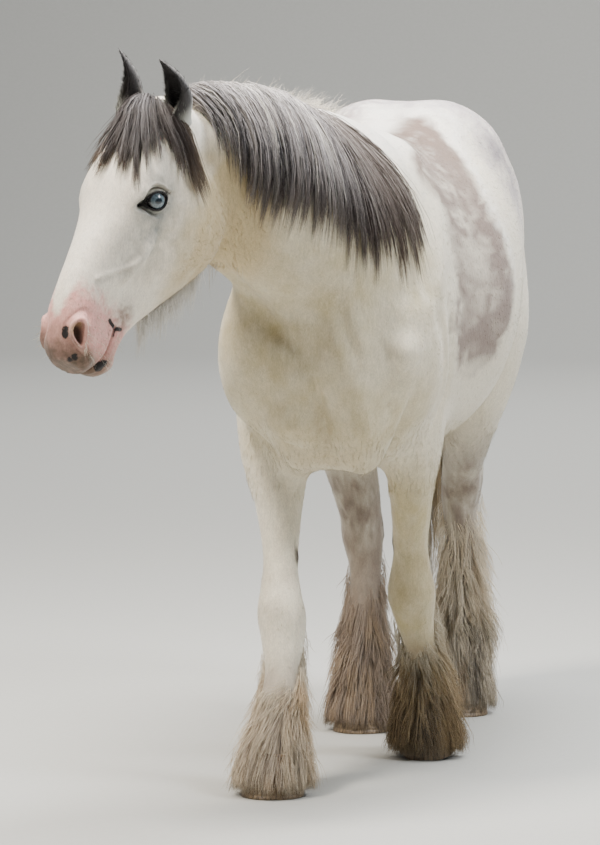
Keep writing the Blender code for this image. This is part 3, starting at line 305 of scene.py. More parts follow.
def oval(start, end, thick, wide, face=Vector((1, 0, 0))):
    """An ellipsoid from start to end, thick along face and wide across it."""
    start, end, face = Vector(start), Vector(end), Vector(face)
    axis = end - start
    length = axis.length / 2
    axis.normalize()
    across = axis.cross(face).normalized()
    out = across.cross(axis).normalized()
    turn = Matrix((out, across, axis)).transposed().to_4x4()
    place = Matrix.Translation((start + end) / 2) @ turn @ Matrix.Diagonal((thick, wide, length, 1))
    mesh = bpy.data.meshes.new("oval")
    bm = bmesh.new()
    bmesh.ops.create_icosphere(bm, subdivisions=3, radius=1.0, matrix=place)
    bm.to_mesh(mesh)
    bm.free()
    return mesh


def body_muscles():
    """The masses that stand out of the torso: shoulders, breast, croup, thighs, buttocks."""
    masses = []
    for s in (-1, 1):
        fore, hind = (-0.03, -0.06) if s < 0 else (0.03, 0.04)
        out = (s, 0, 0)
        masses += [
            # Shoulder blade, point of the shoulder, upper arm and the mass behind it.
            oval((s * 0.1, 0.16, 1.33), (s * 0.165, -0.27 + fore, 0.92), 0.074, 0.15, (s, 0, 0.3)),
            oval((s * 0.142, -0.325 + fore, 1.04), (s * 0.15, -0.1 + fore, 0.76), 0.086, 0.125, out),
            oval((s * 0.15, 0.2 + fore, 1.16), (s * 0.142, 0.02 + fore, 0.7), 0.08, 0.15, out),
            # Breast.
            oval((s * 0.052, -0.365, 1.06), (s * 0.064, -0.15, 0.65), 0.084, 0.115, out),
            # Croup, hip, thigh and buttock.
            oval((s * 0.088, 0.52, 1.3), (s * 0.098, 1.1, 1.28), 0.122, 0.15, (s, 0, 1.2)),
            oval((s * 0.15, 0.58, 1.3), (s * 0.165, 0.9 + hind, 0.78), 0.112, 0.165, out),
            oval((s * 0.11, 1.04, 1.3), (s * 0.145, 0.99 + hind, 0.72), 0.11, 0.135, out),
        ]
    return masses


def head_masses():
    """Brow, cheek, cheekbone, nostril wing, lips and chin, in the head frame."""
    masses = []

    def mass(start, end, thick, wide, face):
        masses.append(oval(head_point(*start), head_point(*end), thick, wide, face))

    for s in (-1, 1):
        out = HEAD_L * s
        mass((0.125, s * 0.066, -0.026), (0.24, s * 0.062, -0.034), 0.026, 0.024, out)
        mass((0.05, s * 0.066, -0.125), (0.235, s * 0.065, -0.225), 0.027, 0.086, out)
        mass((0.205, s * 0.074, -0.098), (0.365, s * 0.05, -0.098), 0.014, 0.016, out)
        mass((0.462, s * 0.04, -0.048), (0.526, s * 0.037, -0.092), 0.021, 0.027, out)
        mass((0.44, s * 0.03, -0.128), (0.55, s * 0.018, -0.118), 0.026, 0.024, out)
        mass((0.0, s * 0.05, -0.04), (0.06, s * 0.062, -0.05), 0.026, 0.03, out)
    mass((0.45, 0, -0.168), (0.534, 0, -0.166), 0.036, 0.022, HEAD_L)
    mass((0.455, 0, -0.196), (0.512, 0, -0.192), 0.027, 0.018, HEAD_L)
    return masses


LEGS = {
    "foreleg_right": FORE_LEG_RIGHT,
    "foreleg_left": FORE_LEG_LEFT,
    "hindleg_right": HIND_LEG_RIGHT,
    "hindleg_left": HIND_LEG_LEFT,
}
THIGH_ROWS = 7


def tail_dock_form():
    """The fleshy root of the tail, which the long hair grows from."""
    rings = []
    for y, z, radius in smooth_rows(TAIL_DOCK, 4):
        rings.append(section(Vector((0, y, z)), Vector((1, 0, 0)), Vector((0, 1, 0.3)).normalized(),
                             radius, radius, radius, 2.0, 0.0, 20))
    return loft("dock form", rings)


def flesh_mesh(voxel):
    """The whole flesh as one closed skin: the trunk is smoothed first, broadly, then all of it."""
    trunk_forms = [torso_form(), neck_form()] + body_muscles()
    trunk_forms += [leg_form("thigh form", rows[:THIGH_ROWS]) for rows in LEGS.values()]
    trunk = fused("trunk", trunk_forms, TRUNK_VOXEL)
    fill_creases(trunk, 60, 0.5, 0.12)
    forms = [trunk, head_form("skull form", SKULL), head_form("jaw form", JAW), tail_dock_form()]
    forms += head_masses()
    forms += [leg_form("leg form", rows) for rows in LEGS.values()]
    flesh = fused("flesh", forms, voxel)
    fill_creases(flesh, 30, 0.5, 0.05)
    return flesh


def joined(name, meshes):
    """One mesh that holds all the given ones."""
    mesh = bpy.data.meshes.new(name)
    bm = bmesh.new()
    for one in meshes:
        bm.from_mesh(one)
        bpy.data.meshes.remove(one)
    bm.to_mesh(mesh)
    bm.free()
    return mesh


def evaluated(obj):
    graph = bpy.context.evaluated_depsgraph_get()
    return bpy.data.meshes.new_from_object(obj.evaluated_get(graph))


def fused(name, meshes, voxel):
    """The forms made one skin by a voxel remesh."""
    obj = bpy.data.objects.new(name, joined(name, meshes))
    bpy.context.scene.collection.objects.link(obj)
    remesh = obj.modifiers.new("fuse", "REMESH")
    remesh.mode = "VOXEL"
    remesh.voxel_size = voxel
    mesh = evaluated(obj)
    bpy.data.objects.remove(obj)
    return mesh


def mesh_arrays(mesh):
    """The points and normals of a mesh as arrays."""
    count = len(mesh.vertices)
    points, normals = np.empty(count * 3), np.empty(count * 3)
    mesh.vertices.foreach_get("co", points)
    mesh.vertex_normals.foreach_get("vector", normals)
    return points.reshape(-1, 3), normals.reshape(-1, 3)


def set_points(mesh, points):
    mesh.vertices.foreach_set("co", np.ascontiguousarray(points).ravel())
    mesh.update()


def neighbour_mean(mesh):
    """A function that gives each point the mean of the points that it shares an edge with."""
    count = len(mesh.vertices)
    edges = np.empty(len(mesh.edges) * 2, int)
    mesh.edges.foreach_get("vertices", edges)
    degree = np.bincount(edges, minlength=count)[:, None]
    one, two = edges.reshape(-1, 2).T

    def mean(points):
        total = [np.bincount(one, points[two, axis], count) + np.bincount(two, points[one, axis], count)
                 for axis in range(3)]
        return np.stack(total, 1) / degree

    return mean


def fill_creases(mesh, rounds, outward, inward):
    """Smooths each point towards its neighbours, filling creases more than it wears ridges."""
    mean = neighbour_mean(mesh)
    points, _ = mesh_arrays(mesh)
    for _ in range(rounds):
        set_points(mesh, points)
        _, normals = mesh_arrays(mesh)
        step = mean(points) - points
        rise = (step * normals).sum(1)
        points = points + step * np.where(rise > 0, outward, inward)[:, None]
    set_points(mesh, points)


def smoothed(mesh, chosen, rounds):
    """Evens out the points that chosen picks."""
    points, _ = mesh_arrays(mesh)
    picked, mean = chosen(points)[:, None], neighbour_mean(mesh)
    for _ in range(rounds):
        points = np.where(picked, points * 0.5 + mean(points) * 0.5, points)
    set_points(mesh, points)


def thinned(mesh, chosen, triangles):
    """The mesh with the part that chosen picks thinned to that many triangles, the rest as it is."""
    obj = bpy.data.objects.new("thin", mesh)
    bpy.context.scene.collection.objects.link(obj)
    group = obj.vertex_groups.new(name="thin")
    picked = [vert.index for vert in mesh.vertices if chosen(vert.co)]
    group.add(picked, 1.0, "REPLACE")
    inside = set(picked)
    total, kept = 0, 0
    for face in mesh.polygons:
        share = len(face.vertices) - 2
        total += share
        if not inside.issuperset(face.vertices):
            kept += share
    thin = obj.modifiers.new("thin", "DECIMATE")
    thin.ratio = (kept + triangles) / total
    thin.vertex_group = group.name
    result = evaluated(obj)
    bpy.data.objects.remove(obj)
    return result


HEAD_MIDDLE = head_point(0.27, 0, -0.11)
HEAD_REACH = 0.34


def in_head(point):
    return (point - HEAD_MIDDLE).length < 0.335


def head_distance(points):
    """How far points are from the middle of the head."""
    return np.linalg.norm(points - np.array(HEAD_MIDDLE), axis=1)


def in_foot(point):
    return point.z < 0.2


# Colours of the coat, as sRGB hex, read off a horse of this marking.
def linear(code):
    """An sRGB hex colour as linear values."""
    values = [int(code[i : i + 2], 16) / 255 for i in (1, 3, 5)]
    return np.array([v / 12.92 if v <= 0.04045 else ((v + 0.055) / 1.055) ** 2.4 for v in values])


CREAM = linear("#E2D9C3")
WHITE = linear("#F1EDE4")
ROAN = linear("#745F52")
MAUVE = linear("#A99CA4")
LEG_WHITE = linear("#E0D9C6")
HOCK_GREY = linear("#8A7B6E")
JOWL_TAN = linear("#D0BD94")
# Painted shade: a warm tan that stands for the shade on the breast, along the throat and on the left foreleg.
PAINTED_SHADE_TAN = linear("#B8A97C")
SOFT_GREY = linear("#A7A8A0")
LID_DARK = linear("#1E1C1D")
MUZZLE_PINK = linear("#D79E95")
LIP_BROWN = linear("#8E7060")
NOSE_BROWN = linear("#594939")
FACE_WHITE = linear("#EFE7D8")
SPOT_BLACK = linear("#1B1718")
SILVER = linear("#A8A2A2")
MANE_DARK = linear("#242022")
MANE_BROWN = linear("#7B7066")
TIP_BROWN = linear("#6A5546")
FORELOCK_DARK = linear("#352C2B")
FORELOCK_TAN = linear("#94806A")
FEATHER_LIGHT = linear("#D9CCB4")
FEATHER_TAN = linear("#B79C78")
FEATHER_GREY = linear("#84736A")
FEATHER_MAUVE = linear("#8F8071")
# Painted shade: the olive of the left foreleg's feather, which stands in the body's shadow.
SHADED_FEATHER_OLIVE = linear("#AC9670")
FEATHER_DARK = linear("#41362D")
TAIL_TAN = linear("#AD9670")


def smoothstep(low, high, value):
    t = np.clip((value - low) / (high - low), 0.0, 1.0)
    return t * t * (3 - 2 * t)


def hump(value, width):
    """1 where the value is 0, falling off smoothly on both sides."""
    return np.exp(-(value / width) ** 2)


def noise(points, scale, seed):
    """Smooth random values from -1 to 1 in space, one blob across each scale."""
    grid = np.asarray(points, float) / scale + seed * 7.31
    cell = np.floor(grid).astype(np.int64)
    part = grid - cell
    part = part * part * (3 - 2 * part)
    value = np.zeros(len(grid))
    for i in range(8):
        corner = np.array([i & 1, (i >> 1) & 1, (i >> 2) & 1])
        spot = cell + corner
        code = (spot[:, 0] * 73856093) ^ (spot[:, 1] * 19349663) ^ (spot[:, 2] * 83492791) ^ (seed * 6291469)
        code = (code * 1103515245 + 12345) & 0x7FFFFFFF
        code = ((code >> 7) ^ code) * 48271 & 0x7FFFFFFF
        weight = np.where(corner, part, 1 - part).prod(1)
        value += weight * (code / 0x7FFFFFFF * 2 - 1)
    return value


def layered_noise(points, scale, seed):
    return (noise(points, scale, seed) + 0.5 * noise(points, scale / 2.1, seed + 1)
            + 0.3 * noise(points, scale / 4.3, seed + 2)) / 1.4


def mixed(base, colour, share):
    """The base colours turned towards another by each point's share."""
    share = np.clip(share, 0.0, 1.0)[..., None]
    return base * (1 - share) + colour * share


def head_coordinates(points):
    """Points as a (down the face), l (to the left) and u (out of the forehead)."""
    axes = np.array([list(HEAD_A), list(HEAD_L), list(HEAD_U)])
    return (points - np.array(POLL)) @ axes.T


def near_line(points, line):
    """How far each point is from a line of points, and how far along it that is, from 0 to 1."""
    line = np.asarray(line, float)
    best = np.full(len(points), 9.0)
    along = np.zeros(len(points))
    count = len(line) - 1
    for i in range(count):
        start, run = line[i], line[i + 1] - line[i]
        t = np.clip(((points - start) @ run) / (run @ run), 0.0, 1.0)
        away = np.linalg.norm(points - start - t[:, None] * run, axis=1)
        closer = away < best
        best[closer] = away[closer]
        along[closer] = (i + t[closer]) / count
    return best, along


# Lines of the breast, which the stride and the turn of the head make uneven.
BREAST_LINES = [
    ([(-0.004, -0.365, 0.86), (0.006, -0.34, 0.784), (0.008, -0.304, 0.725), (0.006, -0.257, 0.686)], -0.013,
     0.013),
    ([(0.185, -0.262, 0.85), (0.16, -0.231, 0.764), (0.131, -0.189, 0.711), (0.085, -0.1, 0.665)], -0.0085,
     0.014),
    ([(-0.19, -0.25, 0.82), (-0.175, -0.2, 0.745), (-0.111, -0.203, 0.687), (-0.039, -0.202, 0.659)], -0.0085,
     0.014),
    ([(-0.169, -0.487, 1.092), (-0.15, -0.42, 1.031), (-0.098, -0.391, 0.976), (-0.055, -0.398, 0.935),
      (-0.032, -0.385, 0.892)], -0.013, 0.024),
    ([(-0.12, -0.44, 1.01), (-0.06, -0.415, 0.965)], 0.006, 0.01),
    ([(-0.1, -0.42, 0.955), (-0.035, -0.405, 0.915)], -0.0055, 0.008),
    ([(-0.085, -0.4, 0.925), (-0.02, -0.39, 0.89)], 0.0045, 0.009),
    ([(0.15, -0.33, 0.895), (0.17, -0.318, 0.915), (0.176, -0.3, 0.88)], 0.0165, 0.038),
    ([(0.044, -0.396, 1.03), (0.071, -0.392, 0.94), (0.096, -0.368, 0.88)], -0.007, 0.022),
    ([(-0.11, -0.3, 0.76), (-0.07, -0.325, 0.775), (-0.03, -0.325, 0.76)], 0.011, 0.034),
    ([(0.055, -0.324, 0.76), (0.105, -0.3, 0.765)], 0.0075, 0.034),
    ([(-0.13, -0.3, 0.728), (-0.08, -0.3, 0.715), (-0.03, -0.29, 0.7)], -0.006, 0.01),
    ([(0.12, -0.3, 0.83), (0.15, -0.29, 0.79), (0.15, -0.25, 0.74)], -0.0045, 0.01),
]
# The roan patch on the left barrel: height, its front edge and its rear edge.
ROAN_EDGES = [(0.82, 0.12, 0.24), (0.88, 0.03, 0.34), (0.95, -0.01, 0.41), (1.0, 0.0, 0.44),
              (1.06, 0.03, 0.45),
              (1.11, 0.04, 0.45), (1.16, 0.04, 0.43), (1.2, 0.06, 0.42), (1.25, 0.0, 0.46), (1.28, -0.04,
                                                                                             0.48),
              (1.31, 0.02, 0.51), (1.34, 0.12, 0.55), (1.37, 0.22, 0.6), (1.45, 0.3, 0.62)]
# Black spots of the muzzle, in the head frame: centre and radius. The lines draw the mark at the corner of
# the mouth.
MUZZLE_SPOTS = [((0.504, 0.024, -0.041), 0.008), ((0.511, 0.024, -0.047), 0.0088),
                ((0.542, 0.023, -0.089), 0.0088),
                ((0.546, 0.038, -0.084), 0.011), ((0.552, 0.03, -0.098), 0.005), ((0.515, 0.034, -0.16),
                                                                                  0.0115),
                ((0.505, 0.038, -0.164), 0.0085)]
MOUTH_MARK = [[(0.428, 0.041, -0.125), (0.434, 0.042, -0.145)],
              [(0.434, 0.042, -0.145), (0.424, 0.043, -0.164)],
              [(0.434, 0.042, -0.145), (0.448, 0.042, -0.149)]]
CHEEK_VEIN = [(0.385, 0.047, -0.04), (0.348, 0.057, -0.07), (0.322, 0.065, -0.088), (0.303, 0.072, -0.1),
              (0.282, 0.073, -0.106), (0.262, 0.075, -0.108), (0.236, 0.078, -0.108)]


def head_colours(points, base):
    """The markings of the head: grey round the eye, tan jowl, pink muzzle with black spots, and a painted
    shadow under the cheek vein.
    """
    place = head_coordinates(points)
    a, l, u = place[:, 0], place[:, 1], place[:, 2]
    grain = layered_noise(points, 0.03, 31)
    fine = layered_noise(points, 0.008, 41)
    face = smoothstep(-0.1, 0.02, a) * smoothstep(-0.34, -0.28, u)
    colours = mixed(base, FACE_WHITE, face * 0.9)
    cheek = hump(a - 0.2, 0.12) * hump(u + 0.17, 0.09)
    colours = mixed(colours, JOWL_TAN, cheek * (0.4 + 0.4 * grain))
    jowl = smoothstep(0.3, 0.1, a) * smoothstep(-0.08, -0.2, u) + smoothstep(-0.17, -0.25,
                                                                             u) * smoothstep(0.44, 0.2, a)
    colours = mixed(colours, JOWL_TAN * 0.93, jowl * (0.8 + 0.4 * grain))
    below = hump(a - 0.25, 0.065) * hump(u + 0.1, 0.055)
    colours = mixed(colours, SOFT_GREY * 0.72, below * (0.55 + 0.8 * grain + 0.3 * fine))
    # Painted shadow: a grey line just below the raised cheek vein.
    under, _ = near_line(place, np.array(CHEEK_VEIN) + np.array([0.007, 0.0, -0.003]))
    colours = mixed(colours, SOFT_GREY * 0.5, hump(under, 0.006) * 0.28 * (l > 0))
    for side in (-1, 1):
        centre = np.array([EYE_PLACE[0], EYE_PLACE[1] * side, EYE_PLACE[2]])
        away = np.linalg.norm(place - centre, axis=1)
        colours = mixed(colours, SOFT_GREY * 0.7, smoothstep(0.075, 0.03, away) * (0.8 + 0.5 * grain))
    edge = 0.408 + 0.075 * hump(l, 0.02) * smoothstep(-0.06, -0.02, u)
    pink = smoothstep(edge - 0.022, edge + 0.026, a + 0.016 * grain + 0.01 * fine)
    colours = mixed(colours, MUZZLE_PINK, pink * (0.95 + 0.12 * fine))
    nose = smoothstep(0.485, 0.53, a + 0.014 * grain) + 0.8 * smoothstep(-0.135, -0.165,
                                                                         u) * smoothstep(0.44, 0.5, a)
    rim = np.zeros(len(points))
    for side in (-1, 1):
        spot = np.array([NOSTRIL[0], NOSTRIL[1] * side, NOSTRIL[2]])
        rim = np.maximum(rim, smoothstep(0.04, 0.018, np.linalg.norm(place - spot, axis=1)))
    colours = mixed(colours, LIP_BROWN, np.maximum(nose * 0.85, rim * 0.45) * (0.9 + 0.3 * fine))
    end = smoothstep(0.515, 0.555, a + 0.012 * grain) + smoothstep(0.505, 0.54, a) * smoothstep(-0.08, -0.11,
                                                                                                u)
    colours = mixed(colours, NOSE_BROWN, np.clip(end, 0, 1) * (0.85 + 0.3 * fine))
    wing = np.linalg.norm((place - np.array((0.492, 0.04, -0.05))) / np.array((1.6, 1.0, 1.0)), axis=1)
    colours = mixed(colours, FEATHER_TAN, smoothstep(0.015, 0.007, wing) * 0.8)
    corner = hump(a - 0.4, 0.03) * hump(u + 0.155, 0.024) * (np.abs(l) > 0.015)
    colours = mixed(colours, ROAN, corner * (0.65 + 0.5 * fine))
    ragged = 0.0035 * layered_noise(points, 0.01, 51)
    for spot, radius in MUZZLE_SPOTS:
        away = np.linalg.norm(place - np.array(spot), axis=1) + ragged
        colours = mixed(colours, SPOT_BLACK, smoothstep(radius + 0.0012, radius - 0.0012, away))
    for line in MOUTH_MARK:
        away, _ = near_line(place, line)
        colours = mixed(colours, SPOT_BLACK, smoothstep(0.0052, 0.003, away + ragged * 0.4))
    freckles = noise(points, 0.0045, 61)
    colours = mixed(colours, LIP_BROWN * 0.6, pink * smoothstep(0.62, 0.8, freckles) * 0.45)
    return colours


def coat_colours(points):
    """The markings of the whole horse at points on its skin, with painted shade: one formula for skin and
    short coat.
    """
    points = np.asarray(points, float)
    x, y, z = points[:, 0], points[:, 1], points[:, 2]
    broad = layered_noise(points, 0.16, 3)
    mottle = layered_noise(points, 0.035, 11)
    streak = layered_noise(points * np.array([1.0, 0.8, 0.32]), 0.008, 17)
    colours = np.tile(CREAM, (len(points), 1)) * (1 + 0.05 * broad[:, None])
    colours = mixed(colours, WHITE, smoothstep(1.2, 1.36, z) * smoothstep(0.3, 0.05, np.abs(x)) * 0.9)
    table = np.array(ROAN_EDGES)
    front = np.interp(z, table[:, 0], table[:, 1])
    rear = np.interp(z, table[:, 0], table[:, 2])
    wander = 0.03 * mottle + 0.02 * broad + 0.02 * streak
    patch = smoothstep(-0.035, 0.045, y - front + wander) * smoothstep(-0.02, 0.03, rear - y + wander)
    patch *= smoothstep(0.8, 0.9, z + wander) * smoothstep(0.0, 0.05, x)
    gap = hump(y - 0.2, 0.09) * hump(z - 1.09, 0.1)
    strength = 0.86 + 0.45 * mottle + 0.42 * streak + 0.3 * layered_noise(points, 0.003, 19) - 0.45 * gap
    strength += 0.3 * hump(y - rear + 0.06, 0.06) + 0.15 * smoothstep(1.18, 1.28, z)
    colours = mixed(colours, ROAN, patch * np.clip(strength, 0.0, 1.0))
    colours = mixed(colours, WHITE,
                    hump(y - rear - 0.03, 0.018) * smoothstep(0.95, 1.1, z) * (x > 0.05) * 0.8)
    croup = smoothstep(0.58, 0.74, y + wander) * smoothstep(1.05, 1.22, z)
    colours = mixed(colours, MAUVE, croup * np.clip(0.56 + 0.35 * mottle + 0.35 * streak, 0.0, 1.0))
    hip = hump(y - 0.74, 0.1) * hump(z - 1.27, 0.08) * (x > 0)
    colours = mixed(colours, MAUVE * 0.45, hip * np.clip(0.85 + 0.6 * mottle + 0.4 * streak, 0.0, 1.0))
    right = smoothstep(-0.02, -0.1, x) * smoothstep(0.22, 0.4, y) * smoothstep(0.98, 1.1, z)
    colours = mixed(colours, mixed(ROAN[None], MAUVE, np.array([0.5]))[0],
                    right * (0.44 + 0.5 * mottle + 0.4 * streak))
    shoulder = hump(y + 0.2, 0.1) * hump(z - 0.98, 0.09) * (x > 0.05)
    colours = mixed(colours, ROAN, shoulder * (0.16 + 0.25 * mottle))
    # Painted shade: the breast turned tan, all but the lit point of the left shoulder.
    breast = smoothstep(0.0, -0.22, y) * smoothstep(1.34, 1.05, z) * smoothstep(0.62, 0.74, z)
    breast *= 1 - 0.9 * hump(x - 0.17, 0.075) * hump(z - 0.905, 0.09)
    colours = mixed(colours, PAINTED_SHADE_TAN, breast * (0.52 + 0.35 * mottle))
    # Painted shadow along the jugular groove of the neck.
    throat, _ = near_line(points, BREAST_LINES[3][0])
    colours = mixed(colours, PAINTED_SHADE_TAN * 0.55, hump(throat, 0.03) * (0.4 + 0.3 * streak))
    low = smoothstep(0.72, 0.55, z)
    colours = mixed(colours, LEG_WHITE, low * 0.8)
    # Painted shade: the left foreleg, back under the body, turned tan.
    colours = mixed(colours, PAINTED_SHADE_TAN, low * (x > 0) * (y < 0.4) * (0.8 + 0.3 * mottle))
    # The hind legs are greyer below the thighs: partly their own grey, partly painted shade.
    hind = smoothstep(0.45, 0.6, y) * smoothstep(0.74, 0.5, z)
    colours = mixed(colours, HOCK_GREY * 0.85, hind * (0.8 + 0.35 * mottle + 0.25 * streak))
    # Painted shade on the lower part of the far, right hind leg.
    far = smoothstep(0.48, 0.34, z) * (x < 0) * (y > 0.3)
    colours = mixed(colours, FEATHER_MAUVE * 0.8, far * (0.75 + 0.3 * mottle))
    knees = smoothstep(0.3, 0.36, z) * smoothstep(0.5, 0.44, z) * (y < 0.45)
    colours = mixed(colours, HOCK_GREY, knees * (0.14 + 0.22 * mottle))
    foot = smoothstep(0.3, 0.22, z)
    colours = mixed(colours, FEATHER_GREY, foot * (0.55 + 0.2 * mottle))
    # Painted shade under the belly, in tan.
    underside = smoothstep(0.8, 0.66, z) * smoothstep(0.6, 0.66, z) * smoothstep(0.14, 0.06, np.abs(x))
    colours = mixed(colours, JOWL_TAN * 0.8, underside * 0.4)
    place = head_coordinates(points)
    ahead = smoothstep(-0.06, 0.02, place[:, 0] + 0.3 * np.clip(-0.1 - place[:, 2], -0.2, 0.3) - 0.02)
    ahead *= smoothstep(0.4, 0.33, head_distance(points) + 0.02 * mottle)
    on_head = head_colours(points, colours)
    colours = colours * (1 - ahead[:, None]) + on_head * ahead[:, None]
    return np.clip(colours, 0.0, 1.0)


# Lids, nostrils and mouth, in the head frame.
EYE_PLACE = (0.181, 0.07, -0.066)
EYE_LOOK = (0.25, 0.9, 0.28)
EYE_CORNERS = (0.76, 0.0, 0.65)
LID_HEIGHT = 0.0038
EYE_OPENING = (0.025, 0.0168)
NOSTRIL = (0.502, 0.047, -0.061)
MOUTH_LINE = [(0.432, 0.062, -0.146), (0.47, 0.058, -0.15), (0.505, 0.048, -0.152),
              (0.535, 0.028, -0.15), (0.545, 0.0, -0.149)]


def side_point(place, side):
    return head_point(place[0], place[1] * side, place[2])


def side_direction(direction, side):
    a, l, u = direction
    return (HEAD_A * a + HEAD_L * l * side + HEAD_U * u).normalized()


def eye_frame(side):
    """The eye's centre, the way it looks, the way to its front corner, and up."""
    look = side_direction(EYE_LOOK, side)
    corner = side_direction(EYE_CORNERS, side)
    corner = (corner - look * corner.dot(look)).normalized()
    up = look.cross(corner) * -side
    return side_point(EYE_PLACE, side), look, corner, up


def eye_coordinates(points, side):
    centre, look, corner, up = [np.array(v) for v in eye_frame(side)]
    away = points - centre
    return away @ corner, away @ up, away @ look


def almond(x, y):
    """1 on the edge of the lids, less inside the opening."""
    wide, high = EYE_OPENING
    bow = 1 - 0.28 * np.clip(x / wide, -1.3, 1.3) ** 2
    return np.sqrt((x / wide) ** 2 + (y / (high * np.maximum(bow, 0.35))) ** 2)


def sculpt_lids(points):
    """Draws the skin round each eye into lids with an open almond between them."""
    for side in (-1, 1):
        look = np.array(eye_frame(side)[1])
        x, y, z = eye_coordinates(points, side)
        reach = np.hypot(x, y)
        near = (reach < 0.06) & (z > -0.012)
        edge = almond(x, y)
        radius = EYE_RADIUS + LID_HEIGHT
        bend = radius * 0.93
        lid = np.sqrt(np.maximum(radius ** 2 - np.minimum(reach, bend) ** 2, 0)) - np.maximum(reach - bend,
                                                                                              0) * 1.1
        hold = smoothstep(2.25, 1.25, edge)
        raised = np.where(edge > 1, z * (1 - hold) + lid * hold, z)
        rim = hump(edge - 1.1, 0.09) * 0.0012
        upper = hump(edge - 1.52, 0.1) * (y > 0.002) * 0.0026
        brow = hump(edge - 1.95, 0.26) * smoothstep(0.002, 0.016, y) * 0.0036
        lower = hump(edge - 1.5, 0.1) * (y < -0.002) * 0.0014
        raised = raised + rim - upper + brow - lower
        duct = hump(y, 0.0026) * smoothstep(0.0225, 0.026, x) * smoothstep(0.041, 0.032, x)
        raised = raised - duct * 0.0035
        floor = np.sqrt(np.maximum(EYE_RADIUS ** 2 - reach ** 2, 0)) - 0.0035
        sunk = smoothstep(1.03, 0.88, edge)
        raised = raised * (1 - sunk) + floor * sunk
        points = np.where(near[:, None], points + (raised - z)[:, None] * look, points)
    return points


def nostril_coordinates(points, side):
    along = np.array(side_direction((0.77, 0.1, -0.6), side))
    inwards = np.array(side_direction((-0.5, -0.85, 0.0), side))
    across = np.cross(inwards, along)
    across /= np.linalg.norm(across)
    away = points - np.array(side_point(NOSTRIL, side))
    return away @ along, (away @ across) * side, away @ inwards, inwards


def nostril_edge(p, w):
    """1 on the rim of the comma-shaped nostril."""
    bent = w + 7.0 * p * p - 0.0015
    high = 0.01 * (1 - 12.0 * p)
    return np.sqrt((p / 0.0225) ** 2 + (bent / np.clip(high, 0.006, 0.014)) ** 2)


def sculpt_muzzle(points, normals):
    """Nostrils with a raised wing, and the line of the mouth with full lips."""
    for side in (-1, 1):
        p, w, d, inwards = nostril_coordinates(points, side)
        near = (np.abs(d) < 0.035) & (np.hypot(p, w) < 0.055)
        edge = nostril_edge(p, w)
        hollow = np.sqrt(np.clip(1 - edge ** 2, 0, 1)) * 0.026
        wing = hump(edge - 1.3, 0.26) * 0.0042
        fold = hump(edge - 2.05, 0.22) * 0.0018
        points = np.where(near[:, None],
                          points + hollow[:, None] * inwards + (wing - fold)[:, None] * normals, points)
    place = head_coordinates(points)
    line = [list(row) for row in MOUTH_LINE] + [[a, -l, u] for a, l, u in MOUTH_LINE[-2::-1]]
    line = np.array(smooth_rows(line, 4))
    middle = np.array([0.44, 0.0, -0.15])
    out = line - middle
    flat = place - middle
    turn = np.arctan2(flat[:, 1], flat[:, 0])
    where = np.arctan2(out[:, 1], out[:, 0])
    order = np.argsort(where)
    height = np.interp(turn, where[order], line[order, 2])
    ahead = smoothstep(0.415, 0.44, place[:, 0]) * (np.abs(turn) < 1.9)
    off = place[:, 2] - height
    groove = hump(off, 0.0019) * 0.0085
    lips = hump(off - 0.009, 0.006) * 0.002 + hump(off + 0.01, 0.006) * 0.0024
    near = (np.abs(off) < 0.03) & (ahead > 0)
    return np.where(near[:, None], points + normals * ((lips - groove) * ahead)[:, None], points)


def world_line(rows):
    """Points of the head frame in the horse's own place."""
    return [list(head_point(*row)) for row in rows]


# The relief of each half of the head, in the head frame, and of each side of the body.
HEAD_RELIEF = [
    ([(0.24, 0.08, -0.1), (0.3, 0.068, -0.1), (0.365, 0.06, -0.098)], 0.0038, 0.011),
    ([(0.118, 0.066, -0.04), (0.142, 0.068, -0.036)], -0.0065, 0.017),
    ([(0.215, 0.08, -0.105), (0.255, 0.078, -0.085)], -0.003, 0.012),
    ([(0.4, 0.052, -0.08), (0.43, 0.052, -0.105)], -0.0035, 0.014),
    ([(0.03, 0.075, -0.15), (0.08, 0.088, -0.235), (0.15, 0.084, -0.262)], 0.002, 0.014),
]
BODY_RELIEF = [
    ([(0.255, 0.6, 0.98), (0.265, 0.5, 0.9), (0.235, 0.42, 0.8)], -0.007, 0.024),
    ([(0.265, 0.72, 1.12), (0.262, 0.78, 0.98), (0.235, 0.74, 0.84)], 0.0045, 0.034),
    ([(0.215, 1.06, 1.16), (0.215, 1.04, 1.0), (0.18, 1.02, 0.84)], -0.0055, 0.02),
    ([(0.17, -0.3, 0.99), (0.235, -0.16, 1.02), (0.235, -0.05, 1.14), (0.19, 0.06, 1.26)], 0.005, 0.03),
    ([(0.232, -0.055, 1.0), (0.229, -0.045, 0.9), (0.215, -0.005, 0.81), (0.192, -0.03, 0.73)], -0.011,
     0.015),
    ([(0.226, -0.105, 0.98), (0.222, -0.095, 0.88), (0.205, -0.06, 0.79)], 0.0055, 0.022),
]
RELIEF_GAIN = 1.75


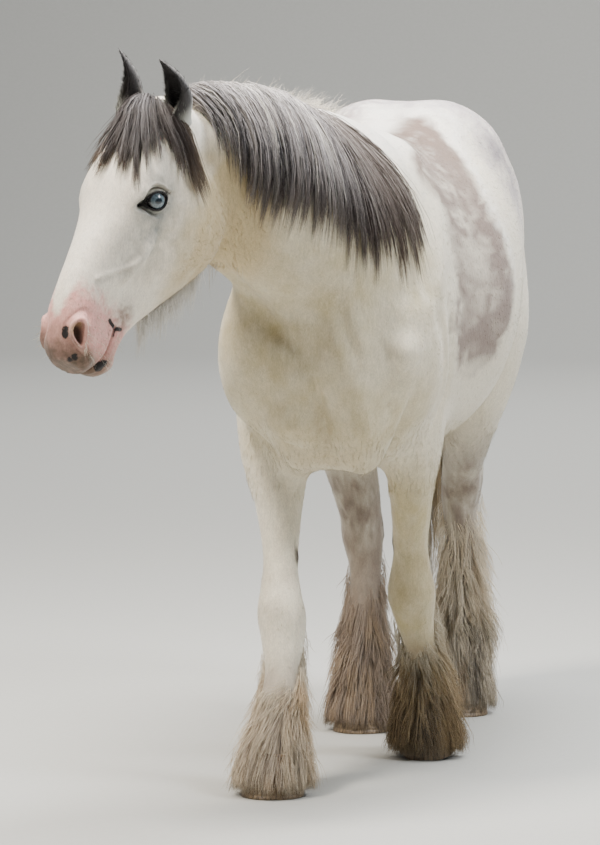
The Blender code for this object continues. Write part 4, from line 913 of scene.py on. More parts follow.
def relief_lines():
    """Veins, muscle edges, tendons and folds that show through the skin, on both sides."""
    branch = [(0.303, 0.072, -0.1), (0.318, 0.066, -0.118), (0.345, 0.058, -0.135)]
    lines = [(world_line(CHEEK_VEIN), 0.0036, 0.004), (world_line(branch), 0.002, 0.004)]
    for side in (-1, 1):
        lines += [(world_line([(a, l * side, u) for a, l, u in spots]), height, width)
                  for spots, height, width in HEAD_RELIEF]
        lines += [([(x * side, y, z) for x, y, z in spots], height, width) for spots, height,
                  width in BODY_RELIEF]
    lines += BREAST_LINES
    for leg, rows in LEGS.items():
        side = side_of(leg)
        table = np.array(rows)
        spots = table[(table[:, 2] > 0.16) & (table[:, 2] < (0.42 if leg.startswith("fore") else 0.5))]
        for out in (side, -side):
            lines.append(([(r[0] + out * r[3] * 0.86, r[1] + r[5] * 0.45, r[2]) for r in spots], -0.004,
                          0.008))
        upper = table[(table[:, 2] > 0.45) & (table[:, 2] < 0.74)]
        lines.append(([(r[0] + side * r[3] * 0.85, r[1] - r[4] * 0.1, r[2]) for r in upper], -0.0035, 0.013))
    return lines


# The chestnut on the inner side of each leg: height and place round the leg. The skin lies a little
# inside the solids, so that the short coat ends on them.
CHESTNUTS = {"foreleg_right": (0.475, -0.2), "foreleg_left": (0.485, -0.2), "hindleg_right": (0.43, 0.4),
             "hindleg_left": (0.47, 0.4)}
SKIN_SINK = 0.001


def side_of(leg):
    return -1 if leg.endswith("right") else 1


def chestnut_distances(points):
    """How far points are from the middle of each chestnut."""
    for leg, (height, turn) in CHESTNUTS.items():
        middle, radius = leg_centre(leg, height)
        spot = np.array(middle) + np.array([-side_of(leg) * radius, radius * turn, 0.0])
        yield np.linalg.norm((points - spot) / np.array([1.6, 1.0, 2.4]), axis=1)


def paint(mesh, colours):
    """Stores a colour for each point, which the material reads as its markings and painted shade."""
    layer = mesh.color_attributes.new("MarkingsAndShade", "FLOAT_COLOR", "POINT")
    full = np.ones((len(mesh.vertices), 4))
    full[:, :3] = colours
    layer.data.foreach_set("color", full.ravel())


def refined(mesh, chosen):
    """The mesh with the faces that chosen picks split in four."""
    bm = bmesh.new()
    bm.from_mesh(mesh)
    edges = set()
    for face in bm.faces:
        if chosen(face.calc_center_median()):
            edges.update(face.edges)
    bmesh.ops.subdivide_edges(bm, edges=list(edges), cuts=1, use_grid_fill=True)
    bm.to_mesh(mesh)
    bm.free()
    return mesh


def face_parts(point, reach):
    """Whether a point lies near an eye, a nostril or the mouth."""
    for side in (-1, 1):
        if (point - side_point(EYE_PLACE, side)).length < 0.052 * reach:
            return True
        if (point - side_point(NOSTRIL, side)).length < 0.046 * reach:
            return True
    away = point - POLL
    a, u = away.dot(HEAD_A), away.dot(HEAD_U)
    margin = 0.08 * (reach - 0.92)
    return a > 0.42 and -0.185 - margin < u < -0.122 + margin


def on_breast(point):
    return -0.52 < point.y < 0.03 and 0.64 < point.z < 1.12 and abs(point.x) < 0.25


def skin_mesh():
    """The whole flesh as one skin, thinned on the trunk and refined at the eyes and muzzle."""
    flesh = flesh_mesh(VOXEL)
    flesh = thinned(flesh, lambda p: not in_head(p) and not in_foot(p), TRUNK_TRIANGLES)
    flesh = thinned(flesh, in_foot, FEET_TRIANGLES)
    flesh = refined(flesh, on_breast)

    def on_muzzle(point):
        return in_head(point) and head_coordinates(np.array([point]))[0, 0] > 0.38

    flesh = refined(flesh, lambda p: face_parts(p, 1.25) or on_muzzle(p))
    flesh = refined(flesh, lambda p: face_parts(p, 0.92))

    def fine(points):
        place = head_coordinates(points)
        near = place[:, 0] > 0.36
        for side in (-1, 1):
            near |= np.linalg.norm(points - np.array(side_point(EYE_PLACE, side)), axis=1) < 0.066
        return near & (head_distance(points) < 0.4)

    smoothed(flesh, fine, 6)
    points, normals = mesh_arrays(flesh)
    for line, height, width in relief_lines():
        away, along = near_line(points, line)
        ridge = RELIEF_GAIN * height * hump(away, width) * np.sin(np.pi * np.clip(along, 0.04, 0.96)) ** 0.5
        points = points + normals * ridge[:, None]
    ripple = layered_noise(points, 0.06, 71) * 0.0011 + noise(points, 0.018, 72) * 0.0003
    body = smoothstep(0.2, 0.35, head_distance(points))
    points = points + normals * (ripple * (0.35 + 0.65 * body))[:, None]
    for away in chestnut_distances(points):
        points = points + normals * (0.0035 * smoothstep(0.011, 0.006, away))[:, None]
    points = points - normals * SKIN_SINK
    points = sculpt_lids(points)
    points = sculpt_muzzle(points, normals)
    set_points(flesh, points)
    smoothed(flesh, fine, 1)
    return flesh


def leg_centre(leg, z):
    """The middle of the leg at a height, and its radius there."""
    rows = np.array(LEGS[leg])[::-1]
    x, y, radius = [float(np.interp(z, rows[:, 2], rows[:, k])) for k in (0, 1, 3)]
    return Vector((x, y, z)), radius


def skin_colours(mesh):
    points, _ = mesh_arrays(mesh)
    colours = coat_colours(points)
    for side in (-1, 1):
        x, y, z = eye_coordinates(points, side)
        near = (np.hypot(x, y) < 0.06) & (z > -0.02)
        edge = almond(x, y)
        ragged = 0.05 * layered_noise(points, 0.006, 83)
        dark = smoothstep(1.34, 1.15, edge + ragged)
        duct = smoothstep(0.005, 0.0022, np.abs(y + 0.001)) * smoothstep(0.018, 0.024,
                                                                         x) * smoothstep(0.044, 0.036, x)
        # Painted shade in the fold above the upper lid.
        lid_crease_shade = hump(edge - 1.56, 0.09) * (y > 0) * 0.45
        share = np.where(near, np.maximum(np.maximum(dark, duct), lid_crease_shade), 0.0)
        colours = mixed(colours, LID_DARK, share)
        p, w, d, _ = nostril_coordinates(points, side)
        inner = smoothstep(0.98, 0.55, nostril_edge(p, w)) * (np.abs(d) < 0.04)
        colours = mixed(colours, LIP_BROWN * 0.3, inner * 0.95)
    for away in chestnut_distances(points):
        colours = mixed(colours, FEATHER_DARK, smoothstep(0.0115, 0.0085, away))
    return colours


# Materials: one helper adds a node with its settings and links.
def add_node(tree, kind, settings=None, links=None, **inputs):
    """Adds a node of the kind, sets its properties and sockets, and links the sockets given as outputs."""
    node = tree.nodes.new(kind)
    for name, value in (settings or {}).items():
        setattr(node, name, value)
    for name, value in inputs.items():
        node.inputs[name.replace("_", " ")].default_value = value
    for name, output in (links or {}).items():
        tree.links.new(output, node.inputs[name])
    return node


def shader_of(name, **values):
    """A material with a Principled shader whose sockets take the given values."""
    material = bpy.data.materials.new(name)
    material.use_nodes = True
    shader = material.node_tree.nodes["Principled BSDF"]
    for socket, value in values.items():
        shader.inputs[socket.replace("_", " ")].default_value = value
    return material, material.node_tree, shader


def object_place(tree, stretch=None):
    """The place on the piece, stretched along the way that hairs or fibres run."""
    place = add_node(tree, "ShaderNodeTexCoord").outputs["Object"]
    if stretch:
        place = add_node(tree, "ShaderNodeMapping", None, {"Vector": place}, Scale=stretch).outputs["Vector"]
    return place


def grain_of(tree, place, **values):
    return add_node(tree, "ShaderNodeTexNoise", None, {"Vector": place}, **values).outputs["Fac"]


def tint_of(tree, grain, dark, light, **limits):
    """Turns a texture into a share of brightness."""
    tint = add_node(tree, "ShaderNodeMapRange", None, {"Value": grain}, To_Min=dark, To_Max=light, **limits)
    return tint.outputs["Result"]


MIDDLE_RANGE = {"From_Min": 0.3, "From_Max": 0.7}


def show_markings_and_shade(tree, shader, share=None):
    """Gives the shader the markings and painted shade stored in the mesh, made lighter and darker by a share.
    """
    colour = add_node(tree, "ShaderNodeVertexColor", {"layer_name": "MarkingsAndShade"}).outputs["Color"]
    if share:
        scaled = add_node(tree, "ShaderNodeVectorMath", {"operation": "SCALE"}, {0: colour, "Scale": share})
        colour = scaled.outputs["Vector"]
    tree.links.new(colour, shader.inputs["Base Color"])


def show_relief(tree, shader, *layers):
    """Bumps laid over each other: for each a texture, its strength and its depth."""
    normal = {}
    for height, strength, depth in layers:
        bump = add_node(tree, "ShaderNodeBump", None, {"Height": height, **normal}, Strength=strength,
                        Distance=depth)
        normal = {"Normal": bump.outputs["Normal"]}
    tree.links.new(normal["Normal"], shader.inputs["Normal"])


def show_two_colours(tree, shader, grain, low, high):
    """Runs the shader's colour between two, each given as a place on the texture and a hex colour."""
    ramp = add_node(tree, "ShaderNodeValToRGB", None, {"Fac": grain})
    for element, (place, code) in zip(ramp.color_ramp.elements, (low, high)):
        element.position = place
        element.color = (*linear(code), 1.0)
    tree.links.new(ramp.outputs["Color"], shader.inputs["Base Color"])


def short_coat_material():
    """Short summer coat over skin: fine hairs 0.4 mm apart lying back and down give a soft, dull grain.
    They are drawn about 1.5 mm apart, or they would not show."""
    material, tree, shader = shader_of("horse skin with short coat", Roughness=0.62, Sheen_Weight=0.25,
                                       Sheen_Roughness=0.45, Subsurface_Weight=0.06, Subsurface_Scale=0.004,
                                       Subsurface_Radius=(1.0, 0.45, 0.3), Specular_IOR_Level=0.28)
    lie = object_place(tree, (1.0, 0.75, 0.3))
    hairs = grain_of(tree, lie, Scale=640.0, Detail=3.0, Roughness=0.6)
    tufts = grain_of(tree, lie, Scale=150.0, Detail=2.0, Roughness=0.55)
    fine, broad = tint_of(tree, hairs, 0.8, 1.1, **MIDDLE_RANGE), tint_of(tree, tufts, 0.91, 1.05,
                                                                          **MIDDLE_RANGE)
    both = add_node(tree, "ShaderNodeMath", {"operation": "MULTIPLY"}, {0: fine, 1: broad})
    show_markings_and_shade(tree, shader, both.outputs[0])
    show_relief(tree, shader, (hairs, 0.55, 0.0006), (tufts, 0.4, 0.0018))
    return material


def long_hair_material(name, roughness, gloss):
    """Long horse hair, 0.1 mm thick, seen in strands: smooth along its length, with a silky streak."""
    material, tree, shader = shader_of(name, Roughness=roughness, Sheen_Weight=0.15, Sheen_Roughness=0.4,
                                       Specular_IOR_Level=gloss)
    grain = grain_of(tree, object_place(tree), Scale=420.0, Detail=2.0, Roughness=0.6)
    show_markings_and_shade(tree, shader, tint_of(tree, grain, 0.78, 1.14, **MIDDLE_RANGE))
    return material


def horn_material():
    """Hoof horn: keratin grown downwards, with growth rings 4 mm apart and fine fibres; dull satin."""
    material, tree, shader = shader_of("hoof horn", Roughness=0.48)
    rings = add_node(tree, "ShaderNodeTexWave", {"wave_type": "BANDS", "bands_direction": "Z"},
                     {"Vector": object_place(tree)}, Scale=38.0, Distortion=2.5, Detail=2.0)
    fibres = grain_of(tree, object_place(tree, (1.0, 1.0, 0.12)), Scale=300.0, Detail=3.0)
    show_two_colours(tree, shader, fibres, (0.3, "#4A3E33"), (0.75, "#A08B6E"))
    show_relief(tree, shader, (rings.outputs["Fac"], 0.5, 0.001))
    return material


def eye_material():
    """A wet eye: clear cornea over a pale blue iris with a dark rim; the colours are in the mesh."""
    material, tree, shader = shader_of("wet eye", Roughness=0.06, Coat_Weight=1.0, Coat_Roughness=0.02,
                                       IOR=1.38)
    show_markings_and_shade(tree, shader)
    return material


def ear_material():
    """Ear skin under short soft hair: dull, with a fine nap."""
    material, tree, shader = shader_of("haired ear skin", Roughness=0.72, Sheen_Weight=0.3,
                                       Sheen_Roughness=0.5)
    grain = grain_of(tree, object_place(tree), Scale=520.0, Detail=3.0)
    show_markings_and_shade(tree, shader, tint_of(tree, grain, 0.65, 1.3))
    show_relief(tree, shader, (grain, 0.6, 0.0008))
    return material


def floor_material():
    """Matt painted studio board: pale and even, with a faint roller texture."""
    material, tree, shader = shader_of("matt studio board", Roughness=0.9)
    grain = grain_of(tree, object_place(tree), Scale=60.0, Detail=3.0)
    show_two_colours(tree, shader, grain, (0.0, "#A8A8A3"), (1.0, "#B0B0AC"))
    return material


# The unwrap of the horse's shape: trunk, head and the four legs side by side.
LEG_NAMES = list(LEGS)
UNWRAP = [(0.02, 0.58, 0.02, 0.97),
          (0.6, 0.8, 0.02, 0.97)] + [(0.82, 0.98, 0.02 + 0.245 * i, 0.24 + 0.245 * i) for i in range(4)]
LEG_TOP = 0.8


def leg_line(leg, heights):
    rows = np.array(LEGS[leg])[::-1]
    return [np.interp(heights, rows[:, 2], rows[:, k]) for k in (0, 1, 3)]


def unwrap_region(points):
    """0 for the trunk, 1 for the head, 2 to 5 for the legs."""
    region = np.zeros(len(points), int)
    away = []
    for leg in LEG_NAMES:
        x, y, _ = leg_line(leg, points[:, 2])
        away.append(np.hypot(points[:, 0] - x, points[:, 1] - y))
    low = points[:, 2] < LEG_TOP
    region[low] = 2 + np.argmin(np.array(away), axis=0)[low]
    region[head_distance(points) < HEAD_REACH] = 1
    return region


def unwrap_turn(points, region):
    """How far round and how far along its region each point is."""
    place = head_coordinates(points)
    turn = np.where(region == 1, np.arctan2(place[:, 1], place[:, 2] + 0.11),
                    np.arctan2(points[:, 0], points[:, 2] - 1.0))
    along = np.where(region == 1, (place[:, 0] + 0.12) / 0.72, (points[:, 1] + 0.95) / 2.3)
    for i, leg in enumerate(LEG_NAMES):
        x, y, _ = leg_line(leg, points[:, 2])
        here = region == 2 + i
        turn = np.where(here, np.arctan2(points[:, 0] - x, y - points[:, 1]), turn)
        along = np.where(here, points[:, 2] / LEG_TOP, along)
    return turn, along


def unwrap_spot(turn, along, region):
    table = np.array(UNWRAP)[region]
    u = table[:, 0] + (table[:, 1] - table[:, 0]) * (turn / (2 * np.pi) + 0.5)
    v = table[:, 2] + (table[:, 3] - table[:, 2]) * np.clip(along, 0.0, 1.0)
    return np.stack([u, v], 1)


def unwrap_skin(mesh):
    """The map for the short coat's colours: each face laid flat in its region."""
    count = len(mesh.loops)
    corners = np.empty(count, int)
    mesh.loops.foreach_get("vertex_index", corners)
    sizes = np.empty(len(mesh.polygons), int)
    mesh.polygons.foreach_get("loop_total", sizes)
    centres = np.empty(len(mesh.polygons) * 3)
    mesh.polygons.foreach_get("center", centres)
    owner = np.repeat(np.arange(len(sizes)), sizes)
    middle = centres.reshape(-1, 3)
    region = unwrap_region(middle)
    turn, _ = unwrap_turn(middle, region)
    points, _ = mesh_arrays(mesh)
    own_turn, along = unwrap_turn(points[corners], region[owner])
    own_turn = turn[owner] + (own_turn - turn[owner] + np.pi) % (2 * np.pi) - np.pi
    layer = mesh.uv_layers.new(name="OFBake")
    layer.data.foreach_set("uv", np.clip(unwrap_spot(own_turn, along, region[owner]), 0.001, 0.999).ravel())


def mesh_of(name, points, corners, starts):
    """A mesh from arrays of points, face corners and the first corner of each face."""
    mesh = bpy.data.meshes.new(name)
    mesh.vertices.add(len(points))
    mesh.vertices.foreach_set("co", np.ascontiguousarray(points, dtype=np.float32).ravel())
    mesh.loops.add(len(corners))
    mesh.loops.foreach_set("vertex_index", corners.astype(np.int32))
    mesh.polygons.add(len(starts))
    mesh.polygons.foreach_set("loop_start", starts.astype(np.int32))
    mesh.polygons.foreach_set("use_smooth", np.ones(len(starts), bool))
    mesh.update(calc_edges=True)
    return mesh


def hair_mesh(name, points, outward, radius, colours):
    """Closed three-sided strands through points (strand, station, axis), each ending in a tip."""
    strands, stations, _ = points.shape
    radius = np.broadcast_to(radius, points.shape[:2])
    colours = np.broadcast_to(colours, points.shape)
    along = np.gradient(points, axis=1)
    along /= np.linalg.norm(along, axis=2, keepdims=True) + 1e-12
    across = np.cross(along, outward)
    across /= np.linalg.norm(across, axis=2, keepdims=True) + 1e-12
    out = np.cross(across, along)
    rings = stations - 1
    per = 3 * rings + 1
    spots = np.empty((strands, per, 3))
    tints = np.empty((strands, per, 3))
    for corner, angle in enumerate((90, 210, 330)):
        turn = math.radians(angle)
        offset = across * math.cos(turn) + out * math.sin(turn)
        spots[:, corner : 3 * rings : 3] = points[:, :rings] + offset[:, :rings] * radius[:, :rings, None]
        tints[:, corner : 3 * rings : 3] = colours[:, :rings]
    spots[:, -1] = points[:, -1]
    tints[:, -1] = colours[:, -1]
    faces = [[2, 1, 0]]
    for ring in range(rings - 1):
        for corner in range(3):
            after = (corner + 1) % 3
            faces.append([3 * ring + corner, 3 * ring + after, 3 * ring + 3 + after, 3 * ring + 3 + corner])
    for corner in range(3):
        faces.append([3 * rings - 3 + corner, 3 * rings - 3 + (corner + 1) % 3, 3 * rings])
    pattern = np.array([index for face in faces for index in face])
    first = np.cumsum([0] + [len(face) for face in faces[:-1]])
    base = np.arange(strands)[:, None]
    corners = (base * per + pattern[None]).ravel()
    starts = (base * len(pattern) + first[None]).ravel()
    mesh = mesh_of(name, spots.reshape(-1, 3), corners, starts)
    paint(mesh, np.clip(tints.reshape(-1, 3), 0.0, 1.0))
    roots = points[:, min(1, stations - 1)]
    region = unwrap_region(roots)
    turn, height = unwrap_turn(roots, region)
    root_spot = np.clip(unwrap_spot(turn, height, region), 0.002, 0.995)
    ring_share = (pattern // 3) / (per / 3) * 0.003
    side_share = (pattern % 3) / 3 * 0.003
    patch = np.stack([side_share, ring_share], 1)
    layer = mesh.uv_layers.new(name="OFBake")
    layer.data.foreach_set("uv", (root_spot[:, None] + patch[None]).ravel())
    return mesh


def taper(stations, root=0.7, tip=0.1, full=0.35):
    """The thickness of a strand along its length, as shares of its fullest."""
    s = np.linspace(0, 1, stations)
    return np.where(s < full, root + (1 - root) * s / full,
                    tip + (1 - tip) * (1 - (s - full) / (1 - full)) ** 0.8)


def bilinear(grid, u, v):
    """Values of a grid (U, V, axis) at places u and v from 0 to 1."""
    rows, columns = grid.shape[:2]
    fu = np.clip(u, 0, 1) * (rows - 1)
    fv = np.clip(v, 0, 1) * (columns - 1)
    iu = np.minimum(fu.astype(int), rows - 2)
    iv = np.minimum(fv.astype(int), columns - 2)
    du, dv = (fu - iu)[..., None], (fv - iv)[..., None]
    return ((grid[iu, iv] * (1 - du) + grid[iu + 1, iv] * du) * (1 - dv)
            + (grid[iu, iv + 1] * (1 - du) + grid[iu + 1, iv + 1] * du) * dv)


def in_clumps(rng, count, clumps, stations, pull, power=1.3, spread=0.15, across=1.0, wrap=False, split=5):
    """Strands gathered into locks, and locks into clumps. Gives, for each strand and station, its place u
    across the root line, its depth v and how far along it is, the chance values of its lock, and its lock."""
    u, v = rng.random(count), rng.random(count)
    clump_u = (np.arange(clumps) + 0.5 + rng.uniform(-0.45, 0.45, clumps)) / clumps
    locks = clumps * split
    parent = np.repeat(np.arange(clumps), split)
    lock_u = clump_u[parent] + rng.normal(0, 0.42, locks) / clumps
    lock_v = rng.random(locks)
    gap = u[:, None] - lock_u[None]
    if wrap:
        gap = (gap + 0.5) % 1.0 - 0.5
    mine = np.argmin((gap * locks / 2.6 / across) ** 2 + ((v[:, None] - lock_v[None]) / 0.35) ** 2, axis=1)
    s = steps_along(stations)
    first = pull * s ** power * rng.uniform(0.55, 1.0, count)[:, None]
    to_lock = -gap[np.arange(count), mine][:, None]
    to_clump = (clump_u[parent] - lock_u)[mine][:, None]
    own_u = u[:, None] + to_lock * first + to_clump * 0.62 * pull * s ** (power + 0.9)
    own_v = v[:, None] + (lock_v[mine] - v)[:, None] * first
    long = 1 - spread * rng.random(clumps)
    length = long[parent][mine] * (1 - 0.7 * spread * rng.random(locks) ** 1.5)[mine]
    length *= 1 - 0.42 * rng.random(count) ** 1.8
    chance = rng.random((locks, 3))
    chance[:, 0] = 0.55 * chance[:, 0] + 0.45 * rng.random(clumps)[parent]
    return own_u, own_v, s * length[:, None], chance[mine], mine


def waves(rng, count, along, size, turns, mine):
    """Sideways drift and waves of strands that grow towards the tips, shared within a lock."""
    locks = mine.max() + 1
    phase = (rng.random((locks, 3)) * 6.28)[mine] + rng.normal(0, 0.35, (count, 3))
    turn = (turns * rng.uniform(0.7, 1.3, locks))[mine]
    sway = np.sin(phase[:, None] + turn[:, None, None] * along[:, :, None] * 6.28)
    drift = rng.normal(0, 1, (count, 3))[:, None] * 0.55 + rng.normal(0, 1, (locks, 3))[mine][:, None] * 0.8
    return (sway + drift) * size * along[:, :, None] ** 1.1


def smooth_grid(grid, rounds):
    for _ in range(rounds):
        inner = grid.copy()
        inner[1:-1] = grid[1:-1] * 0.5 + (grid[:-2] + grid[2:]) * 0.25
        grid = inner.copy()
        grid[:, 1:-1] = inner[:, 1:-1] * 0.5 + (inner[:, :-2] + inner[:, 2:]) * 0.25
    return grid


def on_skin(tree, targets):
    """The spots of the skin nearest to the targets, and its normals there."""
    found = [tree.find_nearest(target)[:2] for target in targets]
    return np.array([[list(part) for part in pair] for pair in found]).transpose(1, 0, 2)


def drape_grid(tree, roots, tips, swings, steps):
    """Lines that lie on the flesh from each root to its tip, and the flesh's normals there."""
    targets = []
    for root, tip, swing in zip(roots, tips, swings):
        control = (root + tip) / 2 + swing
        for k in range(steps):
            t = k / (steps - 1)
            targets.append(root * (1 - t) ** 2 + control * 2 * t * (1 - t) + tip * t * t)
    points, normals = on_skin(tree, targets)
    shape = (len(roots), steps, 3)
    return smooth_grid(points.reshape(shape), 2), smooth_grid(normals.reshape(shape), 4)


def steps_along(stations):
    return np.linspace(0, 1, stations)[None]


def with_strays(rng, points, outward, along, share, spread, rise, power=1.0):
    """Lets a share of the strands stand off the rest, more towards the tips."""
    wild = (rng.random(len(points)) < share)[:, None]
    off = rng.normal(0, spread, (len(points), 1, 3))
    return points + off * (wild * along ** power)[..., None] + outward * (wild * along * rise)[..., None]


# How thick strands of each kind are at their fullest, as a radius in metres.
STRAND_RADIUS = {"mane": 0.00086, "frizz": 0.00042, "forelock": 0.0007, "tail": 0.0013, "feather": 0.00076,
                 "beard": 0.00032, "whisker": 0.00028, "lash": 0.00036, "ear": 0.0004}
FRIZZ_HAIRS, EAR_HAIRS, WHISKERS = 1500, 1500, 220


def strand_radius(kind, stations, share=1.0):
    """The thickness of strands along their length; share makes each thicker or thinner."""
    return STRAND_RADIUS[kind] * share * taper(stations)[None]


# The mane from its front (0.1) to its rear (1): the place on the crest where the hair grows, from the
# poll (0) to the withers (1), and where its tips lie beside the neck.
MANE_TIPS = [
    (0.1, 0.12, -0.172, -0.64, 1.3),
    (0.16, 0.2, -0.14, -0.606, 1.25),
    (0.19, 0.28, -0.122, -0.59, 1.228),
    (0.23, 0.35, -0.106, -0.575, 1.19),
    (0.28, 0.4, -0.088, -0.556, 1.165),
    (0.36, 0.47, -0.056, -0.525, 1.172),
    (0.45, 0.54, -0.018, -0.498, 1.168),
    (0.55, 0.585, 0.031, -0.45, 1.14),
    (0.7, 0.615, 0.09, -0.385, 1.06),
    (0.85, 0.635, 0.16, -0.285, 1.045),
    (1.0, 0.65, 0.205, -0.155, 1.085),
]


def crest_point(t):
    """A point on the crest of the neck, from the poll (0) to the withers (1)."""
    rows = smooth_rows([list(row[0:3]) for row in NECK][::-1], 8)
    spot = t * (len(rows) - 1) * 0.86
    low = max(0, min(int(spot), len(rows) - 2))
    return Vector(rows[low]).lerp(Vector(rows[low + 1]), spot - low)


def mane_place(t):
    """The place on the crest and the tip of the mane's line at t."""
    table = np.array(MANE_TIPS)
    place = [float(np.interp(t, table[:, 0], table[:, k])) for k in (1, 2, 3, 4)]
    return place[0], Vector(place[1:])


def lifted(points, normals, lift, s):
    """Points raised off the flesh: sunk at the root, then rising softly to their layer."""
    rise = -0.005 + (0.005 + lift) * smoothstep(0.0, 0.2, s)
    return points + normals * rise[..., None]


def unit(vectors):
    return vectors / (np.linalg.norm(vectors, axis=-1, keepdims=True) + 1e-12)


def mane_lines(tree):
    """Lines from just beyond the crest, over it and down the neck, from the poll to the withers."""
    roots, tips, swings = [], [], []
    for t in np.linspace(0.1, 1, 40):
        place, tip = mane_place(t)
        crest = crest_point(place)
        left = (crest_point(place + 0.02) - crest_point(place - 0.02)).cross(Vector((0, 0, 1))).normalized()
        roots.append(crest - left * (0.018 - 0.04 * float(smoothstep(0.55, 1.0, t))))
        tips.append(crest.lerp(tip, 1.1))
        early, late = float(smoothstep(0.34, 0.14, t)), float(smoothstep(0.6, 1.0, t))
        swing = Vector((0.07, 0.0, 0.09)).lerp(Vector((0.03, 0.02, 0.08)), early)
        swings.append(swing.lerp(Vector((0.09, 0.045, 0.05)), late))
    return drape_grid(tree, roots, tips, swings, 18)


def mane_hair(lines, rng, count, low, high):
    """Part of the mane, between two places along the crest, silver at the crest, partly as a painted sheen,
    and dark lower down.
    """
    grid, normals = lines
    stations = 7
    u, v, along, chance, mine = in_clumps(rng, count, 34, stations, 0.86, spread=0.2)
    t = low + (high - low) * u
    s = steps_along(stations)
    start = 0.12 * rng.random((count, 1)) ** 1.2 * (1 - s)
    run = start + along * (1 - start)
    place = (t - 0.1) / 0.9 + 0.012 * np.sin(9 * t + 4 * v) * run
    points = bilinear(grid, place, run)
    normal = unit(bilinear(normals, place, run))
    bulk = 0.01 * hump(run - 0.14, 0.16) * smoothstep(0.6, 0.1, t)
    thin = 1 - 0.66 * smoothstep(0.45, 0.9, t)
    lift = (0.003 + (0.026 + bulk) * v + 0.5 * bulk + 0.003 * np.sin(chance[:, :1] * 40 + along * 6)) * thin
    points = lifted(points, normal, lift, s)
    points = points + waves(rng, count, along, 0.0036, 1.1, mine)
    points = with_strays(rng, points, normal, along, 0.07, 0.012, 0.008, 0.7)
    streak = layered_noise(np.stack([t[:, 0] * 3.0, v[:, 0] * 0.3, t[:, 0] * 0], 1), 0.08, 91)
    dark = 0.36 + 0.5 * streak + 0.8 * (chance[:, 0] - 0.5) + 0.22 * rng.normal(0, 1, count)
    dark = smoothstep(0.18, 0.8, np.clip(dark + 0.15 * smoothstep(0.3, 0.15, t[:, 0]), 0, 1))[:, None]
    base = mixed((SILVER * rng.uniform(0.82, 1.18, (count, 1)))[:, None], MANE_BROWN,
                 0.55 * smoothstep(0.55, 0.85, t))
    # Some strands are pale; all are lightened towards white near the crest, a painted sheen.
    pale = smoothstep(0.72, 0.95, chance[:, 1:2]) * 0.6 + 0.35 * smoothstep(0.28, 0.02, run)
    colours = mixed(base, WHITE * 0.9, pale)
    share = dark * (0.3 + 0.68 * smoothstep(0.05, 0.45, run)) + 0.34 * smoothstep(0.28, 0.75, run)
    colours = mixed(colours, MANE_DARK, share)
    brown = smoothstep(0.6, 1.0, run) * (0.2 + 0.65 * chance[:, 2:3]) + 0.3 * smoothstep(0.6, 0.95, t)
    colours = mixed(colours, TIP_BROWN, brown)
    radius = strand_radius("mane", stations, rng.uniform(0.65, 1.25, (count, 1)))
    keep = t[:, 0] > 0.17 - 0.16 * (rng.random(count) < 0.22)
    return points[keep], normal[keep], radius[keep], colours[keep]


def crest_frizz(tree, rng, count):
    """Short stray silver hair that stands along the crest."""
    t = rng.uniform(0.1, 0.8, count) ** 0.8
    spots, normals = on_skin(tree, (crest_point(one) + Vector(rng.normal(0, 0.022, 3)) for one in t))
    stations = 7
    s = steps_along(stations)[..., None]
    way = normals * 0.8 + rng.normal(0, 0.45, (count, 3)) + np.array([0.3, 0.45, 0.1])
    length = rng.uniform(0.012, 0.038, count)[:, None, None]
    fall = np.array([0.6, 0.2, -0.9]) + rng.normal(0, 0.5, (count, 1, 3))
    points = spots[:, None] + way[:, None] * s * length + fall * s ** 2 * length * 0.55
    shade = mixed(SILVER * 1.15, CREAM, 0.3 + 0.7 * rng.random(count))
    return points, normals[:, None], strand_radius("frizz", stations), shade[:, None]


# The forelock's tips in the head frame, from the right side of the face to the left.
FORELOCK_TIPS = [(0.122, -0.062, -0.01), (0.138, -0.046, 0.004), (0.155, -0.009, 0.012), (0.19, 0.034, 0.01),
                 (0.158, 0.058, 0.0), (0.178, 0.084, -0.03), (0.134, 0.094, -0.067), (0.094, 0.086, -0.118),
                 (0.104, 0.09, -0.151), (0.08, 0.086, -0.195)]


